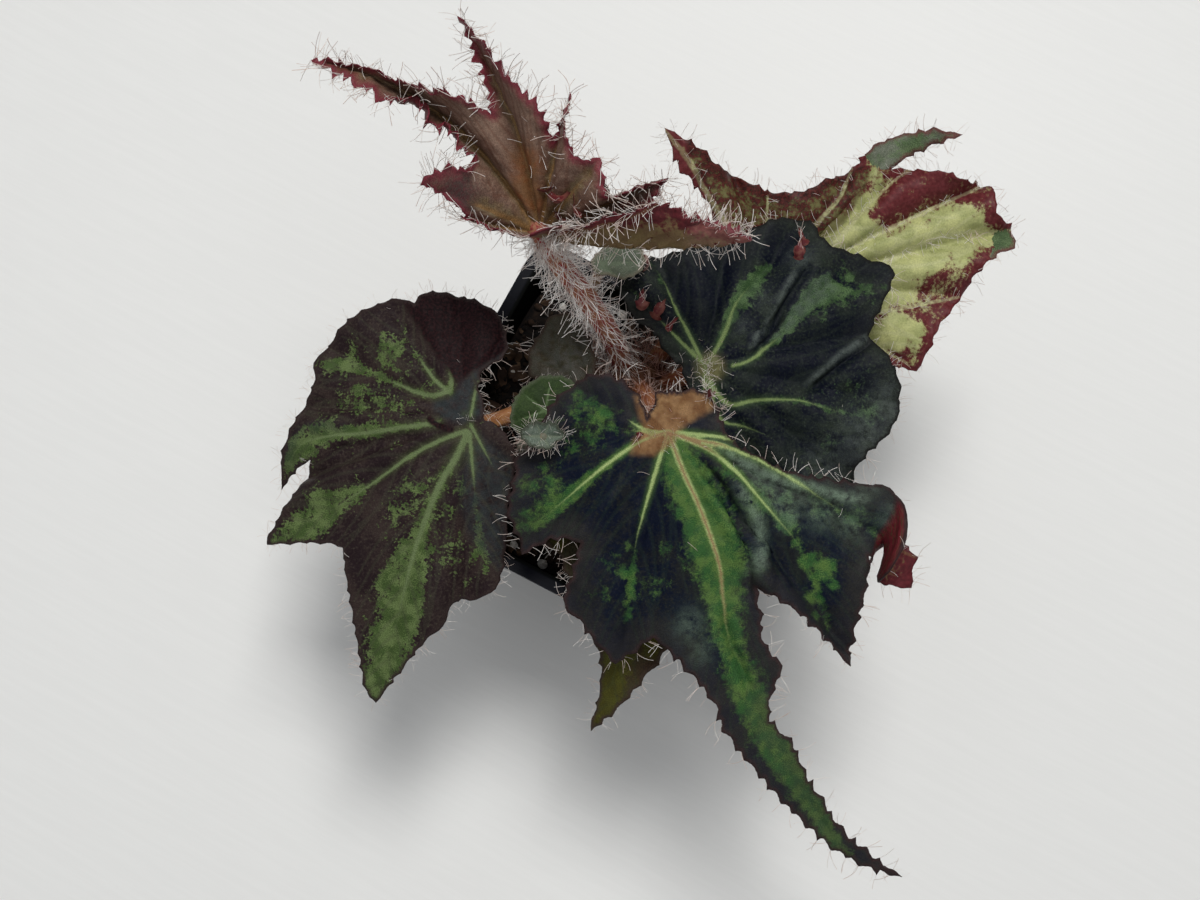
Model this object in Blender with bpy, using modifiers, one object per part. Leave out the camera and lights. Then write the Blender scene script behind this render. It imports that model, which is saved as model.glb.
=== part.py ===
"""Potted begonia: a square nursery pot of soil, a rhizome, six large lobed leaves and three small ones."""
import math
from bisect import bisect_right

import bmesh
import bpy
from mathutils import Matrix, Vector, noise
from mathutils.geometry import delaunay_2d_cdt

MM = 0.001

# pot
POT_BASE_SIDE = 0.057
POT_TOP_SIDE = 0.072
POT_RIM_SIDE = 0.076
POT_RIM_SLOPE = 0.001
POT_CUT_ROOM = 0.001
POT_CORNER_STEPS = 4
POT_HEIGHT = 0.070
POT_RIM_HEIGHT = 0.006
POT_WALL = 0.0013
POT_FLOOR = 0.0018
POT_CORNER = 0.007
DRAIN_DIAMETER = 0.008
DRAIN_DEPTH = 0.01
DRAIN_INSET = 0.017

# soil and rhizome
SOIL_TOP = 0.0615
SOIL_LUMP = 0.0016
SOIL_CELLS = 20
HEAP_HEIGHT = 0.0015
HEAP_RADIUS = 0.018
RHIZOME_KNOBS = 0.12
RHIZOME_RIDGES = 0.05
RHIZOME_CENTRE = (6.5, 16.8, 64.0)
RHIZOME_RADII = (12.0, 7.6, 6.0)

# foliage
FOLIAGE_TURN = math.radians(27.6)
BLADE_THICKNESS = 0.0008
SEAT_GAP = 0.0003
MESH_STEP = 5.6
SMALL_MESH_STEP = 2.6
SMALL_LEAF_ROWS = 12
ROW_SPACING = 0.866
TOOTH_PITCH = 4.6
TOOTH_LEAST = 0.35
TOOTH_SPREAD = 0.6
TOOTH_LEAN = 0.5
NOTCH_SHARE = 0.3
CALM_LENGTH = 6.0
RUN_STEPS = 12
WAVE_SCALE = 0.075
WAVE_FULL_REACH = 30
TWIST_HALF_WIDTH = 9
TWIST_FADE = 3
TWIST_LIMIT = 0.4
STALK_ROUNDNESS = 2
STALK_STEPS = 3

# Each leaf: junction with its stalk in mm, then ribs (bearing, reach, rise or tip vector, arch as a
# height or a vector, and where it differs the pleat up to the next rib), then the twists of lobes
# (rib, start and end in mm, degrees), then the outline (bearing, reach, 1 where it comes to a point).
LEAVES = {
    "front": {
        "junction": (13.6, -4.4, 96.0), "pleat": 0.07, "wave": 1.6, "tooth": 1.0,
        "ribs": [
            (-178, 33, -11, 1.5), (-145, 41, -13.5, 2), (-121, 44, -14.5, 2), (-101, 49, -18, 2),
            (-62, 109, -34, 4), (-49, 64, -19, 2), (-24, 65, -18, 2.5), (-11, 50, -12, 1.5),
            (20, 13, -1, 0), (75, 10, -1, 0), (118, 12, -2, 0), (150, 26, -7, 1)],
        "twists": [(6, 51, 57, 160)],
        "outline": [
            (127, 11), (130, 15.5), (137, 20.5), (147, 24), (158, 26), (168, 27.5), (182, 29.5),
            (186, 34, 1), (195, 34.5), (203, 38), (211, 39.5), (218, 41, 1), (220, 35.5),
            (226, 31), (231, 30, 1), (234, 34), (236, 39.5), (238, 43.5, 1), (245, 44.5),
            (251, 47), (257, 50.5, 1), (262, 46), (266, 43.5, 1), (270, 46), (275, 50),
            (280, 57), (281.5, 63), (284, 70), (287, 77), (290, 87), (294, 98), (296.6, 105),
            (299, 109.5, 1), (297, 102), (294.9, 92), (293.2, 81), (293, 72), (290.5, 64),
            (297, 56, 1), (295, 50), (298, 43.5), (300, 38.5, 1), (303.5, 43), (307, 52),
            (309.2, 64, 1), (315, 58.6), (320, 55.4), (325, 53.4), (330, 51, 1), (332, 56.5),
            (335.5, 61.5), (340.5, 65, 1), (343, 59), (345.5, 54.5), (349, 50, 1), (347, 43), (345, 36), (343, 29),
            (344.5, 22), (352, 15), (370, 12), (398, 12.5), (420, 11), (445, 9), (462, 9),
            (505, 5.5, 1)]},
    "right": {
        "junction": (22.5, 13.8, 86.0), "pleat": 0.07, "wave": 1.4, "tooth": 0.9,
        "ribs": [
            (-179, 6, -1, 0), (-130, 10, -3, 0), (-90, 28, -7, 0), (-60, 38, -9, 1),
            (-38, 44, -8, 1), (-10, 47, -5.5, 1.5), (12, 41, -2, 1), (33, 49, -2.5, 2),
            (57, 43, -1, 2), (78, 33, -1, 1), (112, 30, -1, 1), (133, 31, -2, 1), (158, 12, -1, 0)],
        "twists": [],
        "outline": [
            (-179, 5), (-150, 5), (-120, 7), (-95, 14), (-75, 25), (-60, 34), (-50, 39.5), (-38, 43.5, 1),
            (-33, 41.5), (-27, 42), (-20, 44.5), (-12, 46.5, 1), (-6, 45.5), (-1, 44), (5, 41.5),
            (11, 39, 1), (16, 41), (21, 45), (26, 49), (29, 50, 1), (34, 47), (39, 43.5),
            (43, 41, 1), (48, 41), (54, 43.5, 1), (60, 41), (64, 38.5), (70, 34), (77, 30.5, 1),
            (90, 28.5), (103, 27.5), (119, 29.5), (127, 30.5), (132, 31, 1), (138, 25),
            (144, 20), (145, 14), (160, 9), (175, 6)]},
    "left": {
        "junction": (-32.2, 1.8, 82.0), "pleat": 0.06, "wave": 1.2, "tooth": 0.9,
        "ribs": [
            (-164, 47, -18, 4), (-151, 55, -16, 3), (-110, 66, -20, 4), (-90, 40, -11, 1.5),
            (-72, 33, -9, 1), (-45, 17, -4, 0), (-10, 10, -1, 0), (40, 7, 0, 0), (68, 24, -1, 0.5),
            (95, 31, -2, 1), (123, 36, -3, 1), (150, 39, -6, 1), (172, 41, -9, 1.5)],
        "twists": [],
        "outline": [
            (3, 4.2), (43, 5.5), (70, 8), (72, 13), (60, 17), (66, 22), (76, 27, 1), (88, 29),
            (98, 31), (109, 32.5), (114, 31, 1), (120, 34.5), (128, 36), (140, 37.5),
            (150, 38.5), (157, 39.5, 1), (163, 37.5), (171, 39), (179, 41.5), (188, 44.5),
            (195.5, 47, 1), (192.5, 42.5), (190.5, 37.5, 1), (197, 40.5), (204, 46.5), (209, 54.5, 1),
            (214, 47.5), (220, 42), (225, 40, 1), (233, 45), (242, 54), (248, 64), (251, 66.5, 1),
            (254.5, 57), (259, 49.5), (263, 46, 1), (266, 40.5), (273, 40), (280, 38, 1),
            (284, 34), (290, 27), (298, 20.5), (312, 16.5), (328, 13), (340, 9.5), (352, 7)]},
    "young": {
        "junction": (-14.4, 36.2, 110.0), "pleat": 0.2, "wave": 2.0, "tooth": 1.2,
        "ribs": [
            (-22, 34, (28, 0, 19), (0, -2, 3), 0), (0, 46, (44.5, -4.8, 10), (0, -2, 0.5), -0.05),
            (32, 31, (27, 8, 12), 1),
            (64, 23, (12, 9.5, 16), 1), (95, 30, (6, 21.5, 20), 1), (132, 48, (-16, 38, 24), (3, 0, 2)),
            (170, 60, (-47, 32, 18), (3, 6, 3)),
            (195, 28, (-24.7, 7.6, 10), 1, 0), (220, 17, (-16.2, 2.6, 3), 0, 0),
            (262, 10, (-6, -4, 7), 0, 0), (300, 13, (5, -2, 11), 0, 0)],
        "twists": [],
        "outline": [
            (-22, 30), (-12, 36), (-4, 43), (0, 46.5, 1), (5, 42), (12, 34), (18, 27), (22, 24, 1),
            (27, 28), (32, 31.5, 1), (37, 27), (44, 22), (49, 20, 1), (56, 22), (64, 25, 1),
            (69, 23), (75, 22.5, 1), (81, 24.5), (86, 26), (90.5, 28.5), (93.5, 33, 1), (94.5, 27),
            (98, 21, 1), (104, 26.5), (109, 30), (116, 33.5), (122, 37), (126, 41.5),
            (131, 49, 1), (133, 42.5), (134.5, 37.5), (136.5, 32.5), (140.5, 27.5, 1), (148, 33),
            (157, 37.5), (165, 44), (168, 52), (170, 61, 1), (173.5, 52), (176.3, 43), (177.5, 35),
            (177.5, 28), (181, 20.5, 1), (187, 24.5), (191, 27), (195, 28.5, 1), (199, 23), (206, 18, 1),
            (214, 17), (222, 18, 1), (232, 12), (260, 8), (285, 11),
            (300, 13, 1), (312, 8), (325, 9), (332, 20)]},
    "back": {
        "junction": (39.3, 36.6, 74.0), "pleat": 0.08, "wave": 1.8, "tooth": 0.9,
        "ribs": [
            (-178, 12, 2, 0), (-120, 14, 0, 0), (-70, 26, -3, 0.5), (-29, 40, -4, 1.5),
            (-3, 47, 2, 1), (12, 60, 6, 2), (24, 55, 10, 2), (38, 54, 17, 0), (52, 33, 11, 0.5),
            (92, 21, 9, 0.5), (111, 25, 12, 0), (131, 40, 24, 1), (150, 16, 6, 0)],
        "twists": [],
        "outline": [
            (-178, 11), (-150, 10), (-115, 14), (-85, 21), (-62, 25), (-45, 29), (-35, 32),
            (-29, 40.5, 1), (-24, 40.5), (-18, 40.5), (-12, 41.5, 1), (-7, 44), (-2, 46.5, 1),
            (3, 48.5), (7, 54), (8, 58, 1), (12, 58.5), (17, 55, 1), (22, 56), (26, 52), (31, 48),
            (34, 44, 1), (37.5, 41), (41.5, 37.5, 1), (40.5, 43.5), (36.5, 54.5, 1), (40.5, 50.5),
            (45.5, 45.5), (50, 41.5), (52.5, 37), (53, 33), (56, 29.5), (61, 27), (70, 22.5, 1),
            (82, 21), (92, 21), (102, 22.5),
            (110, 25, 1), (116, 26.5), (121, 28.5), (126, 34), (130.5, 40, 1), (133, 33), (133, 25),
            (136, 18), (150, 13), (168, 11)]},
    "under": {
        "junction": (-1.4, -2.4, 80.0), "pleat": 0.06, "wave": 1.0, "tooth": 0.8,
        "ribs": [
            (-170, 10, -1, 0), (-140, 21, -2, 0.5), (-110, 30, -3, 1), (-91, 65, -21, 7),
            (-73, 50, -9, 3), (-50, 34, -4, 1), (-20, 20, -2, 0), (30, 9, 0, 0), (80, 10, 0, 0),
            (100, 31, -2, 1), (120, 30, -2, 1), (136, 23, -2, 0.5), (155, 7, 0, 0)],
        "twists": [],
        "outline": [
            (-170, 10), (-150, 17), (-130, 23), (-117, 27, 1), (-108, 28.5), (-99, 36),
            (-91, 45.5), (-89.5, 54), (-92, 65, 1), (-86.5, 60.5), (-82.5, 57), (-79, 54),
            (-75, 51.5), (-70, 48, 1), (-62, 40),
            (-50, 34, 1), (-35, 24), (-15, 15), (10, 10), (40, 8.5), (75, 8), (92, 14), (95, 23),
            (100, 30), (108, 32), (117, 30), (127, 27), (135, 23), (134, 16), (138, 9),
            (152, 6.5), (175, 8)]},
    "kidney": {
        "junction": (-14.0, 3.4, 84.0), "pleat": 0.05, "wave": 0.6, "tooth": 0.4,
        "ribs": [(-160, 8, -0.5, 0.3), (-60, 4, 0, 0), (20, 8, -0.5, 0), (80, 9, -0.5, 0.3),
                 (140, 8, -0.5, 0.3)],
        "twists": [],
        "outline": [
            (-130, 7.5), (-90, 4.5), (-40, 3.5), (0, 5), (25, 8), (45, 9.5), (68, 9), (95, 8.3),
            (132, 7.5), (165, 7.5), (200, 8.3)]},
    "bud": {
        "junction": (-14.0, -5.0, 93.5), "pleat": 0.12, "wave": 0.5, "tooth": 0.35,
        "ribs": [(0, 6, 2, 0.3), (60, 4, 3, 0), (120, 4, 3, 0), (180, 6, 2, 0.3), (240, 4, 0.5, 0),
                 (300, 4, 0.5, 0)],
        "twists": [],
        "outline": [
            (0, 5.2), (30, 4.4), (60, 3.4), (90, 3.1), (120, 3.4), (150, 4.4), (180, 5),
            (215, 3.8), (270, 2.9), (325, 4)]},
    "pale": {
        "junction": (-1.0, 37.0, 89.0), "pleat": 0.08, "wave": 0.6, "tooth": 0.4,
        "ribs": [(-40, 6, 0, 0), (0, 10, 1.5, 0.4), (40, 7, 1, 0), (110, 3, 0.3, 0),
                 (200, 2.4, 0, 0), (270, 3, 0, 0)],
        "twists": [],
        "outline": [
            (-60, 3), (-35, 6), (-15, 9), (5, 10), (25, 9), (45, 6.5), (80, 4), (130, 2.6),
            (180, 2.4), (240, 2.5)]},
}

# Stalks: radius at the foot and at the leaf, then the path in mm up to the leaf.
STALKS = {
    "front": (2.4, 2.1, [(8.2, 14.2, 66), (9.8, 8, 76), (12.5, 0, 88), (13.5, -4, 93.2),
                         (13.6, -4.4, 96)]),
    "right": (2.3, 2.0, [(13.8, 15, 65), (18, 14.6, 73), (21.8, 13.9, 80), (22.5, 13.8, 83.2),
                         (22.5, 13.8, 86)]),
    "left": (2.1, 1.8, [(0.5, 17.5, 65), (-7, 14, 67.5), (-15, 9.5, 69), (-24, 5.2, 70.5),
                        (-30, 2.6, 74), (-32, 1.9, 78.5), (-32.2, 1.8, 82)]),
    "young": (2.8, 2.2, [(4.5, 18.5, 66), (2.5, 21.5, 76), (-3, 26.5, 90), (-10.5, 32.5, 103),
                         (-14.2, 36, 108.2), (-14.4, 36.2, 109.3)]),
    "back": (2.2, 1.9, [(11, 20, 65.5), (15, 23.5, 73), (23, 28, 79.5), (32, 33, 81.5),
                        (39, 36.4, 80), (39.3, 36.6, 74.7)]),
    "under": (1.9, 1.6, [(2.6, 13, 66), (1.3, 7, 72.5), (-0.8, -1, 76.4), (-1.3, -2.3, 77.6),
                         (-1.4, -2.4, 80)]),
    "kidney": (1.3, 1.1, [(-14.5, 3, 56), (-15.5, 1.8, 72), (-14.4, 2.8, 80), (-14, 3.4, 82.2),
                          (-14, 3.4, 84)]),
    "bud": (1.2, 1.0, [(-18.5, -3, 56), (-19.4, -4, 76), (-19.2, -4.6, 87), (-16.4, -4.9, 91.2),
                       (-14, -5, 93.5)]),
    "pale": (1.3, 1.1, [(-4, 29, 56), (-4, 32, 74), (-2.4, 35.6, 83), (-1.1, 36.9, 87),
                        (-1, 37, 89)]),
}
FROM_RHIZOME = ("front", "right", "left", "young", "back", "under")
FROM_SOIL = ("kidney", "bud", "pale")

COLOURS = {
    "front": (0.035, 0.075, 0.028), "right": (0.018, 0.035, 0.028), "left": (0.045, 0.055, 0.025),
    "young": (0.12, 0.045, 0.035), "back": (0.28, 0.22, 0.08), "under": (0.16, 0.15, 0.06),
    "kidney": (0.07, 0.13, 0.04), "bud": (0.12, 0.18, 0.09), "pale": (0.16, 0.21, 0.12),
}
STALK_COLOURS = {
    "front": (0.42, 0.16, 0.07), "right": (0.4, 0.17, 0.08), "left": (0.45, 0.2, 0.08),
    "young": (0.45, 0.14, 0.11), "back": (0.4, 0.2, 0.1), "under": (0.4, 0.18, 0.09),
    "kidney": (0.3, 0.2, 0.1), "bud": (0.35, 0.2, 0.1), "pale": (0.35, 0.22, 0.1),
}


def collection(name):
    group = bpy.data.collections.new(name)
    bpy.context.scene.collection.children.link(group)
    return group


def paint(name, colour, roughness):
    coat = bpy.data.materials.new(name)
    coat.use_nodes = True
    shader = coat.node_tree.nodes["Principled BSDF"]
    shader.inputs["Base Color"].default_value = (*colour, 1.0)
    shader.inputs["Roughness"].default_value = roughness
    shader.inputs["Metallic"].default_value = 0.0
    return coat


def add_object(name, mesh, group, coat=None):
    piece = bpy.data.objects.new(name, mesh)
    if coat:
        mesh.materials.append(coat)
    group.objects.link(piece)
    return piece


def move_to(piece, group, name):
    for holder in list(piece.users_collection):
        holder.objects.unlink(piece)
    group.objects.link(piece)
    piece.name = name
    piece.data.name = name


def hide_guide(piece):
    piece.hide_render = True
    piece.display_type = "WIRE"


def turned(point):
    """A point of the foliage, laid out in mm, in the pot's frame in metres."""
    return Matrix.Rotation(FOLIAGE_TURN, 3, "Z") @ Vector(point) * MM


def polar(bearing, reach):
    angle = math.radians(bearing)
    return reach * math.cos(angle), reach * math.sin(angle)


def smooth_step(value):
    value = min(1.0, max(0.0, value))
    return value * value * (3 - 2 * value)


def outline_sections(rows):
    """The outline split at its points, each section a dense smooth run of flat positions."""
    spots = [Vector(polar(row[0], row[1])) for row in rows]
    sharp = [len(row) == 3 for row in rows]
    count = len(rows)
    first = sharp.index(True) if True in sharp else 0
    sections = []
    run = [spots[first]]
    for step in range(count):
        i = (first + step) % count
        j = (i + 1) % count
        start, end = spots[i], spots[j]
        lead_in = (end - start) if sharp[i] else (end - spots[i - 1]) * 0.5
        lead_out = (end - start) if sharp[j] else (spots[(j + 1) % count] - start) * 0.5
        for k in range(1, RUN_STEPS + 1):
            t = k / RUN_STEPS
            run.append(start * (2 * t**3 - 3 * t**2 + 1) + lead_in * (t**3 - 2 * t**2 + t)
                       + end * (3 * t**2 - 2 * t**3) + lead_out * (t**3 - t**2))
        if sharp[j] or step == count - 1:
            sections.append(run)
            run = [run[-1]]
    return sections


def toothed_outline(rows, pitch, depth):
    """Boundary of the blade: a tooth every pitch, cut a little unevenly, tips and notches kept."""
    edge = []
    number = 0
    for run in outline_sections(rows):
        lengths = [0.0]
        for a, b in zip(run, run[1:]):
            lengths.append(lengths[-1] + (b - a).length)
        whole = lengths[-1]
        teeth = max(1, round(whole / pitch))
        for k in range(2 * teeth):
            target = whole * k / (2 * teeth)
            calm = smooth_step((min(target, whole - target) + 1.0) / CALM_LENGTH)
            i = min(bisect_right(lengths, target) - 1, len(run) - 2)
            span = max(lengths[i + 1] - lengths[i], 1e-9)
            spot = run[i].lerp(run[i + 1], (target - lengths[i]) / span)
            along = (run[i + 1] - run[i]).normalized()
            outwards = Vector((along.y, -along.x))
            if k % 2:
                number += 1
                size = depth * calm * (TOOTH_LEAST + TOOTH_SPREAD * abs(math.sin(number * 2.4)))
                spot = spot + outwards * size + along * size * TOOTH_LEAN
            elif k:
                spot = spot - outwards * depth * calm * NOTCH_SHARE
            edge.append(spot)
    return edge


def edge_distance(spot, edge):
    near = 1e9
    for a, b in zip(edge, edge[1:] + edge[:1]):
        side = b - a
        t = min(1.0, max(0.0, (spot - a).dot(side) / max(side.length_squared, 1e-9)))
        near = min(near, (spot - a - side * t).length)
    return near


def inside(spot, edge):
    odd = False
    for a, b in zip(edge, edge[1:] + edge[:1]):
        if (a.y > spot.y) != (b.y > spot.y):
            if spot.x < a.x + (b.x - a.x) * (spot.y - a.y) / (b.y - a.y):
                odd = not odd
    return odd


def rib_vector(rib, reach):
    """Where a rib has got to at a reach from the junction, in mm."""
    bearing, length, tip, arch = rib[:4]
    if not isinstance(tip, tuple):
        tip = (*polar(bearing, length), tip)
    if not isinstance(arch, tuple):
        arch = (0, 0, arch)
    part = reach / length
    return Vector(tip) * part + Vector(arch) * 4 * part * (1 - part)


def blade_point(leaf, x, y):
    """A flat position on the blade, carried out to its place in space between its two ribs."""
    ribs = leaf["ribs"]
    reach = math.hypot(x, y)
    if reach < 1e-6:
        return Vector(leaf["junction"])
    bearing = math.degrees(math.atan2(y, x))
    first = ribs[0][0]
    bearing = first + (bearing - first) % 360
    k = bisect_right([rib[0] for rib in ribs], bearing) - 1
    low, high = ribs[k], ribs[(k + 1) % len(ribs)]
    width = (high[0] - low[0]) % 360
    share = (bearing - low[0]) / width
    a, b = rib_vector(low, reach), rib_vector(high, reach)
    angle = a.angle(b)
    if angle < 1e-4:
        spot = a.lerp(b, share)
    else:
        way = (a.normalized() * math.sin((1 - share) * angle)
               + b.normalized() * math.sin(share * angle)) / math.sin(angle)
        spot = way * (a.length + (b.length - a.length) * share)
    up = a.cross(b).normalized()
    pleat = low[4] if len(low) > 4 else leaf["pleat"]
    spot += up * pleat * reach * math.sin(math.pi * share)
    waviness = leaf["wave"] * min(1.0, reach / WAVE_FULL_REACH) ** 2
    spot += up * waviness * noise.noise(Vector((x * WAVE_SCALE, y * WAVE_SCALE, 3.7)))
    for index, start, end, turn in leaf["twists"]:
        rib = ribs[index]
        off = math.radians((bearing - rib[0] + 180) % 360 - 180)
        near = 1 - smooth_step((abs(math.degrees(off)) - TWIST_HALF_WIDTH) / TWIST_FADE)
        amount = smooth_step((reach * math.cos(off) - start) / (end - start)) * near
        if amount > 0 and abs(off) < TWIST_LIMIT:
            centre = rib_vector(rib, reach * math.cos(off))
            axis = rib_vector(rib, rib[1]).normalized()
            swing = Matrix.Rotation(math.radians(turn) * amount, 3, axis)
            spot = centre + swing @ (spot - centre)
    return Vector(leaf["junction"]) + spot


def blade_layout(leaf, step):
    """Flat triangles of the blade: toothed edge, runs along the ribs, an even field between."""
    pitch = min(TOOTH_PITCH, leaf["tooth"] * 6)
    edge = toothed_outline(leaf["outline"], pitch, leaf["tooth"])
    spots = list(edge)
    links = []
    rib_spots = [Vector((0, 0))]
    spots.append(rib_spots[0])
    for bearing, length, *_ in leaf["ribs"]:
        previous = len(edge)
        for k in range(1, int(length / step) + 1):
            spot = Vector(polar(bearing, k * step))
            if not inside(spot, edge) or edge_distance(spot, edge) < step * 0.35:
                break
            spots.append(spot)
            rib_spots.append(spot)
            links.append((previous, len(spots) - 1))
            previous = len(spots) - 1
    span = max(spot.length for spot in edge)
    rows = int(span / (step * ROW_SPACING)) + 1
    for j in range(-rows, rows + 1):
        for i in range(-rows, rows + 1):
            spot = Vector(((i + 0.5 * (j % 2)) * step, j * step * ROW_SPACING))
            if spot.length > span or not inside(spot, edge):
                continue
            if edge_distance(spot, edge) < step * 0.45:
                continue
            if min((spot - other).length for other in rib_spots) > step * 0.6:
                spots.append(spot)
    loop = [(i, (i + 1) % len(edge)) for i in range(len(edge))]
    placed, _, faces, *_ = delaunay_2d_cdt(spots, links + loop, [], 0, 1e-6, False)
    kept = [face for face in faces
            if inside(sum((placed[i] for i in face), Vector((0, 0))) / len(face), edge)]
    return placed, kept


def build_blade(key, group, coat):
    leaf = LEAVES[key]
    step = MESH_STEP if len(leaf["outline"]) > SMALL_LEAF_ROWS else SMALL_MESH_STEP
    placed, faces = blade_layout(leaf, step)
    corners = [turned(blade_point(leaf, spot.x, spot.y)) for spot in placed]
    mesh = bpy.data.meshes.new("leaf_" + key)
    mesh.from_pydata(corners, [], faces)
    mesh.validate()
    blade = add_object("leaf_" + key, mesh, group, coat)
    mesh.shade_smooth()
    skin = blade.modifiers.new("thickness", "SOLIDIFY")
    skin.thickness = BLADE_THICKNESS
    skin.offset = 0.0
    return blade


def blade_cutter(blade, group):
    """The blade with a seat gap added on both faces, for trimming the stalk under it."""
    cutter = add_object(blade.name + "_clearance", blade.data.copy(), group)
    skin = cutter.modifiers.new("thickness", "SOLIDIFY")
    skin.thickness = BLADE_THICKNESS + 2 * SEAT_GAP
    skin.offset = 0.0
    hide_guide(cutter)
    return cutter


def stalk_mesh(name, key, swell):
    """A tapered round stalk along its path, wider by swell, as a closed mesh."""
    foot, top, path = STALKS[key]
    curve = bpy.data.curves.new(name, "CURVE")
    curve.dimensions = "3D"
    curve.bevel_depth = MM
    curve.bevel_resolution = STALK_ROUNDNESS
    curve.resolution_u = STALK_STEPS
    curve.use_fill_caps = True
    line = curve.splines.new("NURBS")
    line.points.add(len(path) - 1)
    for i, spot in enumerate(path):
        deeper = Vector((0, 0, swell)) if i == 0 else Vector()
        line.points[i].co = (*(turned(spot) - deeper), 1.0)
        line.points[i].radius = foot + (top - foot) * i / (len(path) - 1) + swell / MM
    line.order_u = 3
    line.use_endpoint_u = True
    guide = bpy.data.objects.new(name + "_path", curve)
    bpy.context.scene.collection.objects.link(guide)
    view = bpy.context.evaluated_depsgraph_get()
    mesh = bpy.data.meshes.new_from_object(guide.evaluated_get(view))
    bpy.data.objects.remove(guide)
    bpy.data.curves.remove(curve)
    work = bmesh.new()
    work.from_mesh(mesh)
    bmesh.ops.remove_doubles(work, verts=work.verts, dist=1e-6)
    bmesh.ops.recalc_face_normals(work, faces=work.faces)
    work.to_mesh(mesh)
    work.free()
    mesh.name = name
    mesh.materials.clear()
    return mesh


def cut(piece, cutter):
    trim = piece.modifiers.new("trim_" + cutter.name, "BOOLEAN")
    trim.operation = "DIFFERENCE"
    trim.solver = "EXACT"
    trim.object = cutter


def build_stalk(key, group, coat):
    mesh = stalk_mesh("stalk_" + key, key, 0.0)
    mesh.shade_smooth()
    return add_object("stalk_" + key, mesh, group, coat)


def rhizome_shape(name, swell):
    bpy.ops.mesh.primitive_uv_sphere_add(segments=20, ring_count=12, radius=1.0)
    body = bpy.context.object
    for vertex in body.data.vertices:
        way = vertex.co.normalized()
        knob = 1 + RHIZOME_KNOBS * noise.noise(way * 2.6) + RHIZOME_RIDGES * noise.noise(way * 6)
        radii = [radius * knob + swell / MM for radius in RHIZOME_RADII]
        spot = [centre + way[i] * radii[i] for i, centre in enumerate(RHIZOME_CENTRE)]
        vertex.co = turned(spot)
    body.name = name
    body.data.name = name
    return body


def build_rhizome(group, coat):
    body = rhizome_shape("rhizome", 0.0)
    move_to(body, group, "rhizome")
    body.data.materials.append(coat)
    body.data.shade_smooth()


def square_block(name, low, high, base_side, top_side, corner, group):
    """A tapered square block with rounded upright corners."""
    bpy.ops.mesh.primitive_cube_add(size=1.0)
    block = bpy.context.object
    for vertex in block.data.vertices:
        top = vertex.co.z > 0
        side = top_side if top else base_side
        vertex.co = (math.copysign(side / 2, vertex.co.x), math.copysign(side / 2, vertex.co.y),
                     high if top else low)
    work = bmesh.new()
    work.from_mesh(block.data)
    upright = [edge for edge in work.edges if abs(edge.verts[0].co.z - edge.verts[1].co.z) > 1e-4]
    bmesh.ops.bevel(work, geom=upright, offset=corner, segments=POT_CORNER_STEPS,
                    affect="EDGES", profile=0.5)
    work.to_mesh(block.data)
    work.free()
    move_to(block, group, name)
    return block


def build_pot(group, guides, coat):
    pot = square_block("pot", 0.0, POT_HEIGHT - POT_RIM_HEIGHT / 2, POT_BASE_SIDE, POT_TOP_SIDE,
                       POT_CORNER, group)
    pot.data.materials.append(coat)
    rim = square_block("pot_rim_band", POT_HEIGHT - POT_RIM_HEIGHT, POT_HEIGHT, POT_RIM_SIDE - POT_RIM_SLOPE,
                       POT_RIM_SIDE, POT_CORNER, guides)
    hollow = square_block("pot_hollow", POT_FLOOR, POT_HEIGHT + POT_CUT_ROOM,
                          POT_BASE_SIDE - 2 * POT_WALL, POT_TOP_SIDE - 2 * POT_WALL,
                          POT_CORNER - POT_WALL, guides)
    hide_guide(rim)
    hide_guide(hollow)
    join = pot.modifiers.new("rim", "BOOLEAN")
    join.operation = "UNION"
    join.solver = "EXACT"
    join.object = rim
    cut(pot, hollow)
    for x in (-DRAIN_INSET, DRAIN_INSET):
        for y in (-DRAIN_INSET, DRAIN_INSET):
            bpy.ops.mesh.primitive_cylinder_add(vertices=16, radius=DRAIN_DIAMETER / 2,
                                                depth=DRAIN_DEPTH, location=(x, y, 0.0))
            hole = bpy.context.object
            move_to(hole, guides, "drain_hole")
            hide_guide(hole)
            cut(pot, hole)


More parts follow.
